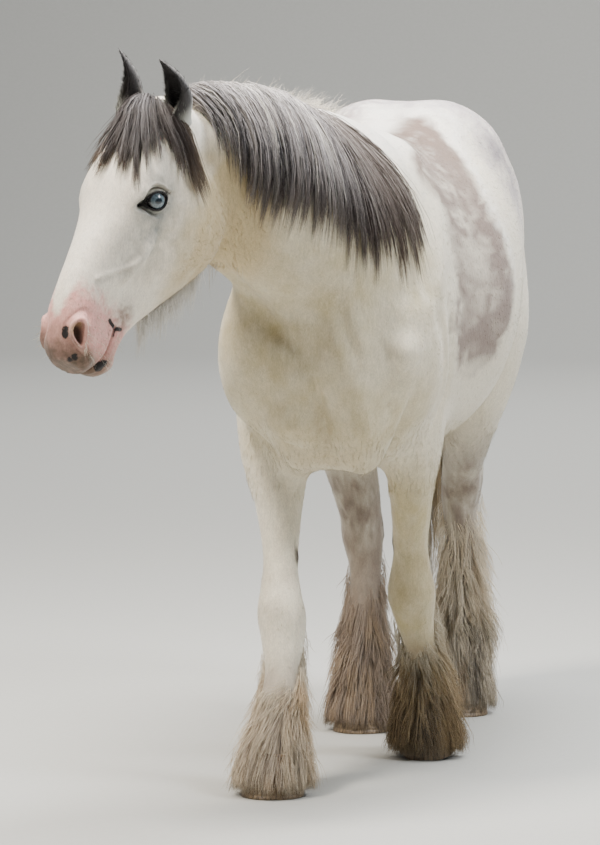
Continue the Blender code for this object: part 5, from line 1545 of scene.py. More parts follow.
def forelock_hair(tree, rng, count):
    table = np.array(FORELOCK_TIPS)
    spreads = np.linspace(0, 1, 28)
    aside = [max(0.0, s - 0.6) / 0.4 for s in spreads]
    roots = [head_point(-0.04 + 0.03 * e, (s - 0.5) * 0.06 + 0.018 * e, 0.004) for s,
             e in zip(spreads, aside)]
    tips = []
    for s, root in zip(spreads, roots):
        spot = [float(np.interp(s * 9, range(10), table[:, k])) for k in range(3)]
        tips.append(root.lerp(head_point(*spot), 1.26 + 0.1 * s))
    swings = [HEAD_U * (0.05 - 0.02 * e) + HEAD_A * 0.012 + HEAD_L * 0.022 * e for e in aside]
    grid, normals = drape_grid(tree, roots, tips, swings, 14)
    stations = 7
    u, v, along, chance, mine = in_clumps(rng, count, 15, stations, 0.84, spread=0.36, split=5)
    s = steps_along(stations)
    start = 0.26 * rng.random((count, 1)) * (1 - s)
    run = start + along * (1 - start)
    points = bilinear(grid, u, run)
    normal = unit(bilinear(normals, u, run))
    crown = 0.015 * hump(run - 0.16, 0.2) * (1 - 0.5 * (2 * u - 1) ** 2)
    points = lifted(points, normal, 0.003 + (0.011 + crown) * v + 0.3 * crown, s)
    points = points + waves(rng, count, along, 0.0052, 0.9, mine)
    points = with_strays(rng, points, normal, along, 0.1, 0.01, 0.007, 0.7)
    dark = 0.98 + 0.8 * (chance[:, 0] - 0.5) + 0.25 * rng.normal(0, 1, count)
    base = mixed(SILVER * 0.62, FORELOCK_DARK, dark)
    tip_share = smoothstep(0.4, 1.0, run) * (0.15 + 0.75 * chance[:, 1:2]) + 0.35 * smoothstep(0.8, 1.0, u)
    colours = mixed(base[:, None], FORELOCK_TAN, tip_share)
    radius = strand_radius("forelock", stations, rng.uniform(0.7, 1.25, (count, 1)))
    return points, normal, radius, colours


# The tail: y, z, half width and half depth of the bundle of hair.
TAIL_BUNDLE = [
    (1.19, 1.29, 0.034, 0.03),
    (1.225, 1.23, 0.046, 0.04),
    (1.27, 1.08, 0.068, 0.05),
    (1.29, 0.85, 0.084, 0.06),
    (1.288, 0.55, 0.078, 0.056),
    (1.278, 0.3, 0.058, 0.044),
    (1.27, 0.13, 0.03, 0.026),
]


def tail_hair(rng, count):
    table = np.array(TAIL_BUNDLE)[::-1]
    stations = 8
    u, v, along, chance, mine = in_clumps(rng, count, 22, stations, 0.7, spread=0.16, wrap=True)
    top = 1.268 - 0.3 * rng.random(count)[:, None]
    end = 0.11 + 0.1 * rng.random(count)[:, None] ** 2 + 0.26 * (1 - v[:, :1])
    z = top + (end - top) * along
    y, wide, deep = [np.interp(z, table[:, 1], table[:, k]) for k in (0, 2, 3)]
    share = np.clip(0.34 + 0.7 * v, 0, 1.02)
    reach = share * (0.3 + 0.7 * np.minimum(1, along * 4)) * (1 - 0.7 * smoothstep(0.7, 1.0, along))
    turn = 2 * np.pi * u + 0.35 * along
    points = np.stack([np.cos(turn) * wide * reach, y + np.sin(turn) * deep * reach, z], 2)
    outward = np.stack([np.cos(turn), np.sin(turn), 0 * turn], 2)
    points = points + waves(rng, count, along, 0.0065, 1.6, mine) * np.array([1, 1, 0.4])
    points[:, :, 2] = np.maximum(points[:, :, 2], 0.06)
    dark = 0.34 + 0.8 * (chance[:, 0] - 0.5) + 0.2 * rng.normal(0, 1, count) + 0.4 * smoothstep(1.15, 1.27,
                                                                                                top[:, 0])
    base = mixed(TAIL_TAN * rng.uniform(0.85, 1.15, (count, 1)), FEATHER_DARK, dark)
    colours = mixed(base[:, None], CREAM * 0.9, smoothstep(0.5, 1.0, along) * chance[:, 1:2] * 0.5)
    radius = strand_radius("tail", stations, rng.uniform(0.7, 1.25, (count, 1)))
    return points, outward, radius, colours


# The feather's bell: height and radius about the foot's own line.
FEATHER_BELL = ((0.012, 0.092), (0.06, 0.096), (0.11, 0.086), (0.17, 0.07), (0.23, 0.056), (0.3, 0.05))
# The feather starts higher at the back of a leg: the height of its first hairs, behind and in front.
FEATHER_TOP = {"foreleg_right": (0.37, 0.215), "foreleg_left": (0.4, 0.25), "hindleg_right": (0.43, 0.3),
               "hindleg_left": (0.52, 0.45)}
# How much wider the upper part of the feather stands, from 0.2 m up.
FEATHER_FLARE = {"foreleg_right": 1.0, "foreleg_left": 1.1, "hindleg_right": 1.1, "hindleg_left": 1.45}


def bell_points(leg, z, angle, share):
    """Points on the bell of the feather; angle 0 is the back of the leg."""
    x, y, heading, _ = HOOVES[leg]
    table = np.array(FEATHER_BELL)
    mx, my, _ = leg_line(leg, np.maximum(z, 0.11))
    low = np.clip(1 - z / 0.17, 0, 1)
    mx, my = mx + (x - mx) * low, my + (y - my) * low
    radius = np.interp(z, table[:, 0], table[:, 1]) * share
    radius = radius * (1 + (FEATHER_FLARE[leg] - 1) * np.clip((z - 0.1) / 0.1, 0, 1))
    turn = angle + math.radians(heading)
    return np.stack([mx - np.sin(turn) * radius, my + np.cos(turn) * radius, z], -1)


def feather_hair(leg, rng, count):
    """Leg feather in tiers: short and close at its top, then longer hair that swells over the hoof,
    each wisp with a loose curl and its tip flicked out."""
    stations, locks = 6, 170
    back, front = FEATHER_TOP[leg]
    around = rng.uniform(-np.pi, np.pi, count)
    share_back = np.cos(around) * 0.5 + 0.5
    edge = 0.026 * noise(np.stack([np.cos(around), np.sin(around), 0 * around], 1), 0.35, 131)
    top = front + (back - front) * share_back ** 1.6 + edge
    fall = np.where(rng.random(count) < 0.6, 1 - np.sqrt(rng.random(count)), rng.random(count))
    high = 0.09 + (top - 0.09) * fall
    band = hump(high - 0.232, 0.024) * (leg == "foreleg_right")
    lock_angle, lock_fall = rng.uniform(-np.pi, np.pi, locks), 1 - rng.random(locks) ** 0.75
    gap = (around[:, None] - lock_angle[None] + np.pi) % (2 * np.pi) - np.pi
    mine = np.argmin((gap / 0.3) ** 2 + ((fall[:, None] - lock_fall[None]) / 0.13) ** 2, axis=1)
    own_gap = -gap[np.arange(count), mine]
    s = steps_along(stations)
    lean = rng.normal(0, 0.16, locks)[mine][:, None]
    angle = around[:, None] + own_gap[:, None] * 0.66 * s ** 1.2 * rng.uniform(0.4, 1.0,
                                                                               (count, 1)) + lean * s ** 1.3
    angle = angle - 1.15 * band[:, None] * s ** 1.1
    chance = rng.random((locks, 3))[mine]
    young = smoothstep(0.75, 1.0, fall)
    length = (0.112 + 0.048 * share_back) * (0.65 + 0.55 * chance[:, 0])
    length = length * rng.uniform(0.65, 1.0, count) * (1 - 0.5 * young)
    low = np.maximum(high - length * (1 - 0.4 * band), 0.005 + 0.014 * rng.random(count) ** 2)
    deep = (rng.random(count) < 0.5) & (high < 0.2)
    low = np.where(deep, 0.004 + 0.01 * rng.random(count) ** 1.5, low)
    z = high[:, None] + (low - high)[:, None] * s ** 0.92
    layer = 0.7 + 0.34 * rng.random((count, 1)) * (0.5 + 0.5 * fall[:, None]) + 0.08 * (chance[:, 1:2] - 0.5)
    target = bell_points(leg, z, angle, layer)
    _, _, radius = leg_line(leg, high[:, None] + 0 * z)
    lean_x, lean_y, _ = leg_line(leg, np.maximum(z, 0.08))
    reach = radius + np.where(s == 0, -0.006, 0.002 + 0.012 * layer * s)
    near = np.stack([lean_x - np.sin(angle) * reach, lean_y + np.cos(angle) * reach, z], -1)
    onward = np.clip(s * 1.35, 0, 1)[..., None] ** 1.15 * (1 - 0.75 * young[:, None, None])
    points = near * (1 - onward) + target * onward
    outward = np.stack([-np.sin(angle), np.cos(angle), 0.35 + 0 * angle], -1)
    flick = (0.012 * chance[:, 2:3] * s ** 2.5 - 0.004 * s ** 1.5) * (1 - 0.6 * young[:, None])
    points = points + outward * flick[..., None]
    curl = 0.0046 if leg.startswith("fore") else 0.0034
    points = points + waves(rng, count, np.repeat(s, count, 0), curl, 1.1, mine) * np.array([1, 1, 0.6])
    points = with_strays(rng, points, outward, s, 0.08, 0.009, 0.008)
    points[:, :, 2] = np.maximum(points[:, :, 2], 0.0045)
    colours = feather_colours(leg, rng, points, chance, s, fall)
    radius = strand_radius("feather", stations,
                           rng.uniform(0.6, 1.25, (count, 1))) * (1 - 0.3 * young[:, None])
    return points, outward, radius, colours


# The feather of each leg: its light and dark colours, and how dark it is at the top and at the floor.
FEATHER_SHADES = {
    "foreleg_right": (FEATHER_LIGHT, FEATHER_GREY, 0.22, 0.36),
    # The left foreleg's feather takes an olive that is painted shade.
    "foreleg_left": (SHADED_FEATHER_OLIVE, FEATHER_DARK, 0.06, 0.62),
    "hindleg_right": (FEATHER_MAUVE * 1.3, FEATHER_DARK, 0.2, 0.4),
    "hindleg_left": (FEATHER_LIGHT * 1.15, FEATHER_DARK, 0.0, 0.72),
}


def feather_colours(leg, rng, points, chance, s, fall):
    light, dark, above, below = FEATHER_SHADES[leg]
    z = points[:, :, 2]
    share = above + (below - above) * smoothstep(0.34, 0.03, z) + 0.55 * (chance[:, 2:3] - 0.5)
    share = share + 0.15 * rng.normal(0, 1, (len(points), 1)) - 0.16 * smoothstep(0.3, 1.0, s)
    colours = mixed(light * rng.uniform(0.85, 1.12, (len(points), 1, 1)) + 0 * points, dark, share)
    cuff = hump(points[:, :1, 2] - 0.232, 0.03) * (leg == "foreleg_right")
    colours = mixed(colours, FEATHER_TAN * 1.15, (cuff + 0.0 * z) * 0.75)
    tan = smoothstep(0.62, 0.95, chance[:, 1:2]) * 0.55
    colours = mixed(colours, FEATHER_TAN, tan * (0.3 + 0.7 * s))
    young = smoothstep(0.7, 1.0, fall)[:, None] * (1 - 0.5 * s)
    return mixed(colours, LEG_WHITE if leg.startswith("fore") else light, young * 0.75)


def short_hairs(spots, normals, lie, length, radius, colours, rise, stations=3):
    """Single short hairs or tufts at spots on the skin, leaning along their lie."""
    lie = lie - normals * (lie * normals).sum(1, keepdims=True)
    lie /= np.linalg.norm(lie, axis=1, keepdims=True) + 1e-9
    s = steps_along(stations)[..., None]
    up = normals[:, None] * (rise[:, None, None] * (s * 1.5 - s * s * 0.75) * length[:, None, None] - 0.0006)
    points = spots[:, None] + lie[:, None] * s * length[:, None, None] + up
    thick = radius[:, None] * np.linspace(1.0, 0.45, stations)[None]
    return points, normals[:, None], thick, colours[:, None]


def skin_samples(mesh, rng, density):
    """Spots spread over the skin, with how thickly given by a function of place."""
    points, normals = mesh_arrays(mesh)
    mesh.calc_loop_triangles()
    corners = np.empty(len(mesh.loop_triangles) * 3, int)
    mesh.loop_triangles.foreach_get("vertices", corners)
    a, b, c = points[corners.reshape(-1, 3)].transpose(1, 0, 2)
    area = np.linalg.norm(np.cross(b - a, c - a), axis=1) / 2
    expected = area * density((a + b + c) / 3)
    number = np.floor(expected + rng.random(len(area))).astype(int)
    which = np.repeat(np.arange(len(area)), number)
    r1, r2 = np.sqrt(rng.random(len(which))), rng.random(len(which))
    weights = np.stack([1 - r1, r1 * (1 - r2), r1 * r2], 1)
    spots = (np.stack([a[which], b[which], c[which]], 1) * weights[..., None]).sum(1)
    triangles = corners.reshape(-1, 3)[which]
    direction = (normals[triangles] * weights[..., None]).sum(1)
    return spots, direction / np.linalg.norm(direction, axis=1, keepdims=True)


def coat_lie(points):
    """Which way the short coat lies: back and down on the trunk, down the legs, back from the muzzle."""
    z = points[:, 2]
    trunk = np.stack([0 * z, 0.85 + 0 * z, -0.45 + 0 * z], 1)
    neck = np.array([0.1, 0.55, -0.8])
    ahead = smoothstep(-0.1, -0.3, points[:, 1])[:, None]
    lie = trunk * (1 - ahead) + neck * ahead
    legs = smoothstep(0.85, 0.65, z)[:, None]
    lie = lie * (1 - legs) + np.array([0, 0.15, -1.0]) * legs
    place = head_coordinates(points)
    face = smoothstep(-0.04, 0.06, place[:, 0])[:, None] * (head_distance(points) < 0.36)[:, None]
    away = np.array(HEAD_A) * np.where(place[:, :1] < 0.16, 0.6, -0.25) - np.array(HEAD_U) * 0.9
    return lie * (1 - face) + away * face


def coat_density(points):
    """Tufts for each square metre of skin: dense on the head but thin on the muzzle, denser in a band round
    the belly, breast, elbows and upper legs, none on the feet.
    """
    place = head_coordinates(points)
    on_head = head_distance(points) < HEAD_REACH
    head = np.where(place[:, 0] > 0.43, 2500.0, 12000.0)
    fringe = smoothstep(0.8, 0.68, points[:, 2]) * smoothstep(0.5, 0.6, points[:, 2])
    density = 6500.0 + 3000.0 * fringe
    density = np.where(points[:, 2] < 0.12, 0.0, density)
    return np.where(on_head, head, density)


def coat_tufts(mesh, rng):
    spots, normals = skin_samples(mesh, rng, coat_density)
    for side in (-1, 1):
        x, y, _ = eye_coordinates(spots, side)
        away = np.linalg.norm(spots - np.array(side_point(EYE_PLACE, side)), axis=1)
        p, w, d, _ = nostril_coordinates(spots, side)
        keep = ~((almond(x, y) < 1.55) & (away < 0.05)) & ~((nostril_edge(p, w) < 1.25) & (np.abs(d) < 0.04))
        spots, normals = spots[keep], normals[keep]
    place = head_coordinates(spots)
    on_head = head_distance(spots) < HEAD_REACH
    jaw = on_head * smoothstep(-0.15, -0.24, place[:, 2]) * smoothstep(0.4, 0.25, place[:, 0])
    belly = smoothstep(0.8, 0.7, spots[:, 2]) * (np.abs(spots[:, 0]) < 0.2) * (spots[:, 2] > 0.6)
    length = np.where(on_head, 0.0055, 0.0105) + 0.011 * jaw + 0.01 * belly
    length *= rng.uniform(0.75, 1.3, len(spots))
    radius = np.where(on_head, 0.00042, 0.00062) * rng.uniform(0.8, 1.2, len(spots))
    tint = coat_colours(spots) * rng.uniform(0.88, 1.08, (len(spots), 1))
    lie = coat_lie(spots) + rng.normal(0, 0.18, (len(spots), 3))
    rise = 0.1 + 0.07 * rng.random(len(spots)) + 0.3 * jaw + 0.1 * belly
    return short_hairs(spots, normals, lie, length, radius, tint, rise, 2)


def beard_hair(tree, rng, count):
    """Cream hair along the underside of the jaw, in small wisps."""
    a = 0.2 + 0.25 * rng.random(count)
    l = rng.normal(0, 0.024, count)
    wisp = np.round(a * 45) / 45
    spots, normals = on_skin(tree, (head_point(down, left, -0.4) for down, left in zip(a, l)))
    stations = 5
    s = steps_along(stations)[..., None]
    fall = np.array([0, 0, -1.0]) + np.array(HEAD_A) * 0.2
    length = (0.012 + 0.056 * rng.random(count) ** 1.8) * (0.5 + 0.7 * np.abs(np.sin(wisp * 190)))
    curl = rng.normal(0, 1, (count, 1, 3)) * 0.006 + np.sin(wisp * 400)[:, None, None] * 0.003
    points = spots[:, None] - normals[:, None] * 0.001 + fall * s * length[:, None, None]
    points = points + normals[:, None] * (0.01 * s * (1 - s)) * 1.5 + curl * s ** 1.5
    colours = WHITE * rng.uniform(0.75, 1.05, (count, 1, 1))
    return points, normals[:, None], strand_radius("beard", stations,
                                                   rng.uniform(0.7, 1.2, (count, 1))), colours


def whisker_hair(tree, rng, count):
    """Fine whiskers round the lips, chin and nostrils."""
    a = rng.uniform(0.44, 0.545, count)
    u = rng.uniform(-0.2, -0.05, count)
    side = np.where(rng.random(count) < 0.5, -1, 1)
    spots, normals = on_skin(tree, (head_point(*place) for place in zip(a, 0.1 * side, u)))
    stations = 4
    s = steps_along(stations)[..., None]
    length = rng.uniform(0.01, 0.019, count)[:, None, None]
    lean = normals[:, None] + np.array(HEAD_A) * 0.35 + rng.normal(0, 0.25, (count, 1, 3))
    points = spots[:, None] - normals[:, None] * 0.001 + lean * s * length + np.array([0, 0, -0.005]) * s ** 2
    outward = np.cross(normals, np.array(HEAD_A))[:, None]
    return points, outward, strand_radius("whisker", stations), CREAM * rng.uniform(0.55, 1.0, (count, 1, 1))


def lash_hair(rng):
    """Upper lashes that slope forward over each eye, and a few below."""
    parts = []
    for side in (-1, 1):
        centre, look, corner, up = [np.array(v) for v in eye_frame(side)]
        for count, low, high, size, part in ((56, 0.16, 0.9, 0.015, 1), (16, 1.15, 1.85, 0.008, -1)):
            turn = np.pi * (low + (high - low) * rng.random(count))
            wide, tall = EYE_OPENING
            x, y = np.cos(turn) * wide * 1.04, np.sin(turn) * tall * 0.86
            z = np.sqrt(np.maximum((EYE_RADIUS + LID_HEIGHT) ** 2 - np.minimum(x * x + y * y, 0.00055),
                                   0)) + 0.0004
            spots = centre + x[:, None] * corner + y[:, None] * up + z[:, None] * look
            stations = 5
            s = steps_along(stations)[..., None]
            length = size * rng.uniform(0.7, 1.15, count)[:, None, None]
            lean = look * 0.8 + up * 0.28 * part + corner * (x / wide)[:, None, None] * 0.45
            lean = lean + rng.normal(0, 0.08, (count, 1, 3))
            points = spots[:, None] + lean * s * length + up * part * length * 0.22 * s ** 2 - look * 0.001
            parts.append((points, np.broadcast_to(up, points.shape)))
    points, outward = [np.concatenate([part[k] for part in parts]) for k in (0, 1)]
    return points, outward, strand_radius("lash", stations), LID_DARK


# Ears: root in the head frame, the way they point as azimuth and rise in degrees, the way they open.
EAR_ROOT = (0.004, 0.068, -0.034)
EAR_LENGTH = 0.15
EAR_POINT = {-1: (182.0, 66.0), 1: (186.0, 54.0)}
EAR_OPEN = {-1: 242.0, 1: 214.0}
EAR_HOOK = {-1: 0.004, 1: 0.014}
EAR_SECTIONS = [
    (-0.1, 0.024, 0.024, 165, 0.02),
    (0.1, 0.026, 0.026, 160, 0.015),
    (0.25, 0.029, 0.026, 140, 0.007),
    (0.42, 0.03, 0.022, 118, 0.0042),
    (0.6, 0.026, 0.017, 104, 0.0034),
    (0.78, 0.018, 0.011, 94, 0.0028),
    (0.92, 0.009, 0.005, 90, 0.0022),
    (1.0, 0.003, 0.002, 88, 0.0012),
]
EAR_STEPS = 12


def compass(azimuth, rise):
    """A direction: azimuth 180 looks along -Y, 90 along +X."""
    az, el = math.radians(azimuth), math.radians(rise)
    return Vector((math.cos(el) * math.sin(az), math.cos(el) * math.cos(az), math.sin(el)))


def ear_frame(side):
    axis = compass(*EAR_POINT[side])
    opening = compass(EAR_OPEN[side], 10.0)
    opening = (opening - axis * opening.dot(axis)).normalized()
    return side_point(EAR_ROOT, side), axis, opening, axis.cross(opening).normalized()


def ear_ring(side, row):
    """The outer and inner points of one section of an ear."""
    root, axis, opening, across = ear_frame(side)
    t, width, depth, span, thick = row
    bend = opening * (EAR_HOOK[side] * max(t, 0) ** 2 - 0.014 * math.sin(math.pi * min(max(t, 0), 1)))
    centre = root + axis * t * EAR_LENGTH + bend
    outer, inner = [], []
    for k in range(2 * EAR_STEPS + 1):
        angle = math.radians(span) * (k / EAR_STEPS - 1)
        spread = Vector((math.sin(angle), -math.cos(angle)))
        outer.append(centre + across * spread.x * width + opening * spread.y * depth)
        inner.append(centre + across * spread.x * max(width - thick, width * 0.12)
                     + opening * spread.y * max(depth - thick, depth * 0.12))
    return outer, inner


def ear_skin(side):
    """An ear as a cupped leaf, dark inside and at the tip, grey-white at its outer root."""
    rings, shades = [], []
    for row in smooth_rows([list(row) for row in EAR_SECTIONS], 5):
        outer, inner = ear_ring(side, row)
        rings.append(outer + inner[::-1])
        t = row[0]
        for k in range(len(outer)):
            edge = abs(k / EAR_STEPS - 1)
            shades.append(mixed(SOFT_GREY * 1.25, SPOT_BLACK * 1.3,
                                np.array(smoothstep(0.1, 0.48, t + 0.3 * edge))))
        for k in range(len(inner)):
            edge = abs(k / EAR_STEPS - 1)
            shades.append(mixed(SPOT_BLACK * 1.3, SOFT_GREY * 0.6,
                                np.array(0.3 * smoothstep(0.75, 1.0, edge) * (t < 0.5))))
    mesh = loft("ear", rings)
    if len(mesh.vertices) != len(shades):
        raise RuntimeError("the ear's colours don't match its points")
    mesh.shade_smooth()
    paint(mesh, np.array(shades))
    return mesh


def ear_hair(side, rng, count):
    """Soft hair along the rims and inside the cup of an ear."""
    rows = np.array(smooth_rows([list(row) for row in EAR_SECTIONS], 5))
    _, axis, opening, across = ear_frame(side)
    spots, ways = [], []
    for _ in range(count):
        t = rng.uniform(0.06, 0.94)
        row = [t] + [float(np.interp(t, rows[:, 0], rows[:, k])) for k in range(1, 5)]
        outer, inner = ear_ring(side, row)
        pick = rng.random()
        left = rng.random() < 0.5
        if pick < 0.6:
            spot = (outer[0] if left else outer[-1]).lerp(inner[0] if left else inner[-1], rng.random())
            way = opening * 0.55 + axis * 0.75 + across * (-0.3 if left else 0.3)
        elif pick < 0.8:
            spot = inner[int(rng.integers(2, len(inner) - 2))]
            way = opening * 0.8 + axis * 0.9
        else:
            spot = outer[int(rng.integers(0, len(outer)))]
            way = axis * 1.0 - opening * 0.15
        spots.append(list(spot) + [t])
        ways.append(list(way.normalized()))
    spots, ways = np.array(spots), np.array(ways)
    t = spots[:, 3]
    stations = 4
    s = steps_along(stations)[..., None]
    length = (0.005 + 0.008 * rng.random(count)) * (1.2 - 0.9 * t)
    points = spots[:, None, :3] - ways[:, None] * 0.001 + ways[:, None] * s * length[:, None, None]
    points = points + rng.normal(0, 0.0012, (count, 1, 3)) * s ** 1.4
    base = mixed(SOFT_GREY * rng.uniform(0.7, 1.2, (count, 1)), SPOT_BLACK * 1.3, smoothstep(0.08, 0.42, t))
    return points, np.array(across), strand_radius("ear", stations), base[:, None]


IRIS_BLUE = linear("#4C5C65")
IRIS_PALE = linear("#7D8E97")
PUPIL = linear("#1F2A32")
IRIS_RADIUS = 0.0162
PUPIL_SIZE = (0.0074, 0.0058)


def eye_mesh(side, columns=96, rows=64):
    """An eyeball whose clear front bulges a little, with iris, pupil and dark rim."""
    centre, look, corner, up = [np.array(v) for v in eye_frame(side)]
    polar = np.linspace(0, np.pi, rows + 1)[1:-1]
    around = np.linspace(0, 2 * np.pi, columns, endpoint=False)
    ring, turn = np.meshgrid(polar, around, indexing="ij")
    x = (np.sin(ring) * np.cos(turn)).ravel() * EYE_RADIUS
    y = (np.sin(ring) * np.sin(turn)).ravel() * EYE_RADIUS
    z = np.cos(ring).ravel() * EYE_RADIUS
    x, y, z = [np.concatenate([[0.0], v, [0.0]]) for v in (x, y, z)]
    z[0], z[-1] = EYE_RADIUS, -EYE_RADIUS
    reach = np.hypot(x, y)
    front = z > 0
    z = z + front * 0.0012 * smoothstep(IRIS_RADIUS * 1.05, 0.0, reach)
    points = centre + x[:, None] * corner + y[:, None] * up + z[:, None] * look
    count = len(x)
    faces = []
    for k in range(columns):
        after = (k + 1) % columns
        faces.append([0, 1 + k, 1 + after])
        faces.append([count - 1, count - 1 - columns + after, count - 1 - columns + k])
    for r in range(rows - 2):
        for k in range(columns):
            after = (k + 1) % columns
            a = 1 + r * columns
            faces.append([a + k, a + columns + k, a + columns + after, a + after])
    if side < 0:
        faces = [face[::-1] for face in faces]
    mesh = bpy.data.meshes.new("eye")
    mesh.from_pydata([tuple(p) for p in points], [], faces)
    mesh.shade_smooth()
    flat = np.stack([x, y, z], 1)
    spokes = noise(np.stack([np.arctan2(y, x) * 0.012, reach * 0.25, 0 * x], 1), 0.0011, 301)
    iris = mixed(np.tile(IRIS_BLUE, (count, 1)), IRIS_PALE, 0.5 + 0.5 * spokes)
    iris = mixed(iris, IRIS_BLUE * 0.55, 0.4 * smoothstep(0.2, 0.9, noise(flat, 0.004, 305)))
    pupil = np.sqrt((x / PUPIL_SIZE[0]) ** 2 + (y / PUPIL_SIZE[1]) ** 2)
    colours = mixed(iris, PUPIL, smoothstep(1.3, 0.8, pupil) * front)
    rim = smoothstep(IRIS_RADIUS * 0.86, IRIS_RADIUS * 1.0, reach)
    colours = mixed(colours, LID_DARK, rim)
    white = smoothstep(IRIS_RADIUS * 1.18, IRIS_RADIUS * 1.35, reach) * front
    colours = mixed(colours, linear("#5E5552"), white * 0.7)
    colours[~front] = LID_DARK
    paint(mesh, colours)
    return mesh


# Hooves: ground centre x, y, heading in degrees (positive to the horse's left), tilt of the heel.
HOOVES = {
    "foreleg_right": (-0.092, -0.372, -4.0, 0.0),
    "foreleg_left": (0.1385, 0.245, 3.0, 24.0),
    "hindleg_right": (-0.069, 0.624, -5.0, 0.0),
    "hindleg_left": (0.11, 0.937, 5.0, 0.0),
}
TOE_FLAT_DEPTH = 0.004
CORONET_BACK = 0.026
CORONET_RISE = 0.24


def hoof_place(leg):
    """The hoof's own frame: y ahead to the toe, z up; a raised heel turns about the toe."""
    x, y, heading, tilt = HOOVES[leg]
    turn = Matrix.Rotation(math.radians(heading + 180.0), 4, "Z")
    toe = Matrix.Translation((0, HOOF_RADIUS * 1.08, 0))
    lift = toe @ Matrix.Rotation(math.radians(-tilt), 4, "X") @ toe.inverted()
    sink = TOE_FLAT_DEPTH if tilt else 0.0
    return Matrix.Translation((x, y, -sink)) @ turn @ lift


def horn_mesh(leg):
    """A hoof wall with growth rings and a slightly worn edge, its sole flat on the floor."""
    turned = hoof_place(leg)
    levels = [(0.0, 0.982, 1.062, 0.0)]
    for k in range(31):
        h = 0.02 + 0.98 * k / 30
        wide = float(np.interp(h, (0.012, 0.5, 1.0), (0.985, 0.88, 0.775)))
        long = float(np.interp(h, (0.012, 0.5, 1.0), (1.065, 0.94, 0.79)))
        back = float(np.interp(h, (0.0, 0.012, 0.5, 1.0), (0.0, 0.05, 0.5, 1.0)))
        ripple = 0.0035 * math.sin(h * 46) * math.sin(math.pi * h)
        levels.append((h, wide + ripple, long + ripple, back))
    rings = []
    for height, wide, long, back in levels:
        ring = []
        for i in range(72):
            angle = 2 * math.pi * i / 72
            worn = 1 + 0.006 * math.sin(angle * 5 + 1.3) * (1 - height) + 0.002 * math.sin(angle * 23)
            x = math.cos(angle) * HOOF_RADIUS * wide * worn
            y = math.sin(angle) * HOOF_RADIUS * long * worn - CORONET_BACK * back
            z = height * (HOOF_HEIGHT + CORONET_RISE * (y + CORONET_BACK))
            spot = turned @ Vector((x, y, z))
            spot.z = max(spot.z, 0.0)
            ring.append(spot)
        rings.append(ring)
    mesh = loft("hoof " + leg, rings)
    for face in mesh.polygons:
        face.use_smooth = len(face.vertices) < 5
    return mesh


def wrap_round(mesh):
    """A plain map for a small piece: turn round its own upright axis and height."""
    points, _ = mesh_arrays(mesh)
    low, high = points.min(0), points.max(0)
    middle = (low + high) / 2
    corners = np.empty(len(mesh.loops), int)
    mesh.loops.foreach_get("vertex_index", corners)
    turn = np.arctan2(points[:, 1] - middle[1], points[:, 0] - middle[0]) / (2 * np.pi) + 0.5
    height = (points[:, 2] - low[2]) / (high[2] - low[2])
    layer = mesh.uv_layers.new(name="OFBake")
    layer.data.foreach_set("uv", np.stack([turn, height], 1)[corners].ravel())


MADE = {}
LEG_NODES = [leg + part for leg in LEG_NAMES for part in ("_upper", "_lower")]


def skin():
    """The horse's skin, made once, and a search tree over it."""
    if "skin" not in MADE:
        mesh = skin_mesh()
        MADE["skin"] = mesh
        points, _ = mesh_arrays(mesh)
        MADE["tree"] = BVHTree.FromPolygons([tuple(p) for p in points],
                                            [tuple(f.vertices) for f in mesh.polygons])
    return MADE["skin"], MADE["tree"]


def finished(name, mesh, material, nodes):
    """Puts a piece in the scene, on the body, with its material and the nodes it stands for."""
    mesh.transform(Matrix.Translation(ORIGIN_SHIFT))
    mesh.materials.clear()
    mesh.materials.append(material)
    if "OFBake" not in mesh.uv_layers:
        wrap_round(mesh)
    piece = bpy.data.objects.new(name, mesh)
    bpy.context.scene.collection.objects.link(piece)
    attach(piece, "root")
    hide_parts(*nodes)
    return piece


def made_material(name, maker, *values):
    if name not in MADE:
        MADE[name] = maker(*values)
    return MADE[name]


# The kinds of hair: the material's name, its roughness and its gloss.
HAIR_KINDS = {"mane": ("mane and tail hair", 0.46, 0.32), "feather": ("leg feather hair", 0.55, 0.32),
              "soft": ("short soft hair", 0.62, 0.25)}


def hair_piece(name, strands, kind, node):
    """Puts a set of strands in the scene as one piece."""
    material = made_material(kind, long_hair_material, *HAIR_KINDS[kind])
    finished(name, hair_mesh(name, *strands), material, [node])


class HorseSizes(bpy.types.PropertyGroup):
    """Sizes and numbers of the horse's hair."""

    mane_strands: bpy.props.IntProperty(name="Mane strands", description="Strands in each half of the mane",
                                        default=5500, min=100)
    forelock_strands: bpy.props.IntProperty(name="Forelock strands", description="Strands of the forelock",
                                            default=3100, min=100)
    tail_strands: bpy.props.IntProperty(name="Tail strands", description="Strands of the tail", default=2700,
                                        min=100)
    feather_strands: bpy.props.IntProperty(name="Feather strands", description="Strands on each leg",
                                           default=4700, min=100)
    beard_strands: bpy.props.IntProperty(name="Beard strands", description="Strands under the jaw",
                                         default=2200, min=10)
    floor_size: bpy.props.FloatProperty(name="Floor", description="Width of the studio floor", default=120.0,
                                        min=5.0, unit="LENGTH")
    camera_lens: bpy.props.FloatProperty(name="Lens", description="Focal length of the camera in millimetres",
                                         default=218.0, min=20.0)


class HorseColours(bpy.types.PropertyGroup):
    """Colours of the studio."""

    backdrop: bpy.props.FloatVectorProperty(name="Backdrop", description="Colour of the light all round",
                                            subtype="COLOR",
                                            size=3, min=0.0, max=1.0, default=tuple(linear("#D9DCE0")))
    key: bpy.props.FloatVectorProperty(name="Key light", description="Colour of the main light",
                                       subtype="COLOR",
                                       size=3, min=0.0, max=1.0, default=tuple(linear("#FFF6EA")))


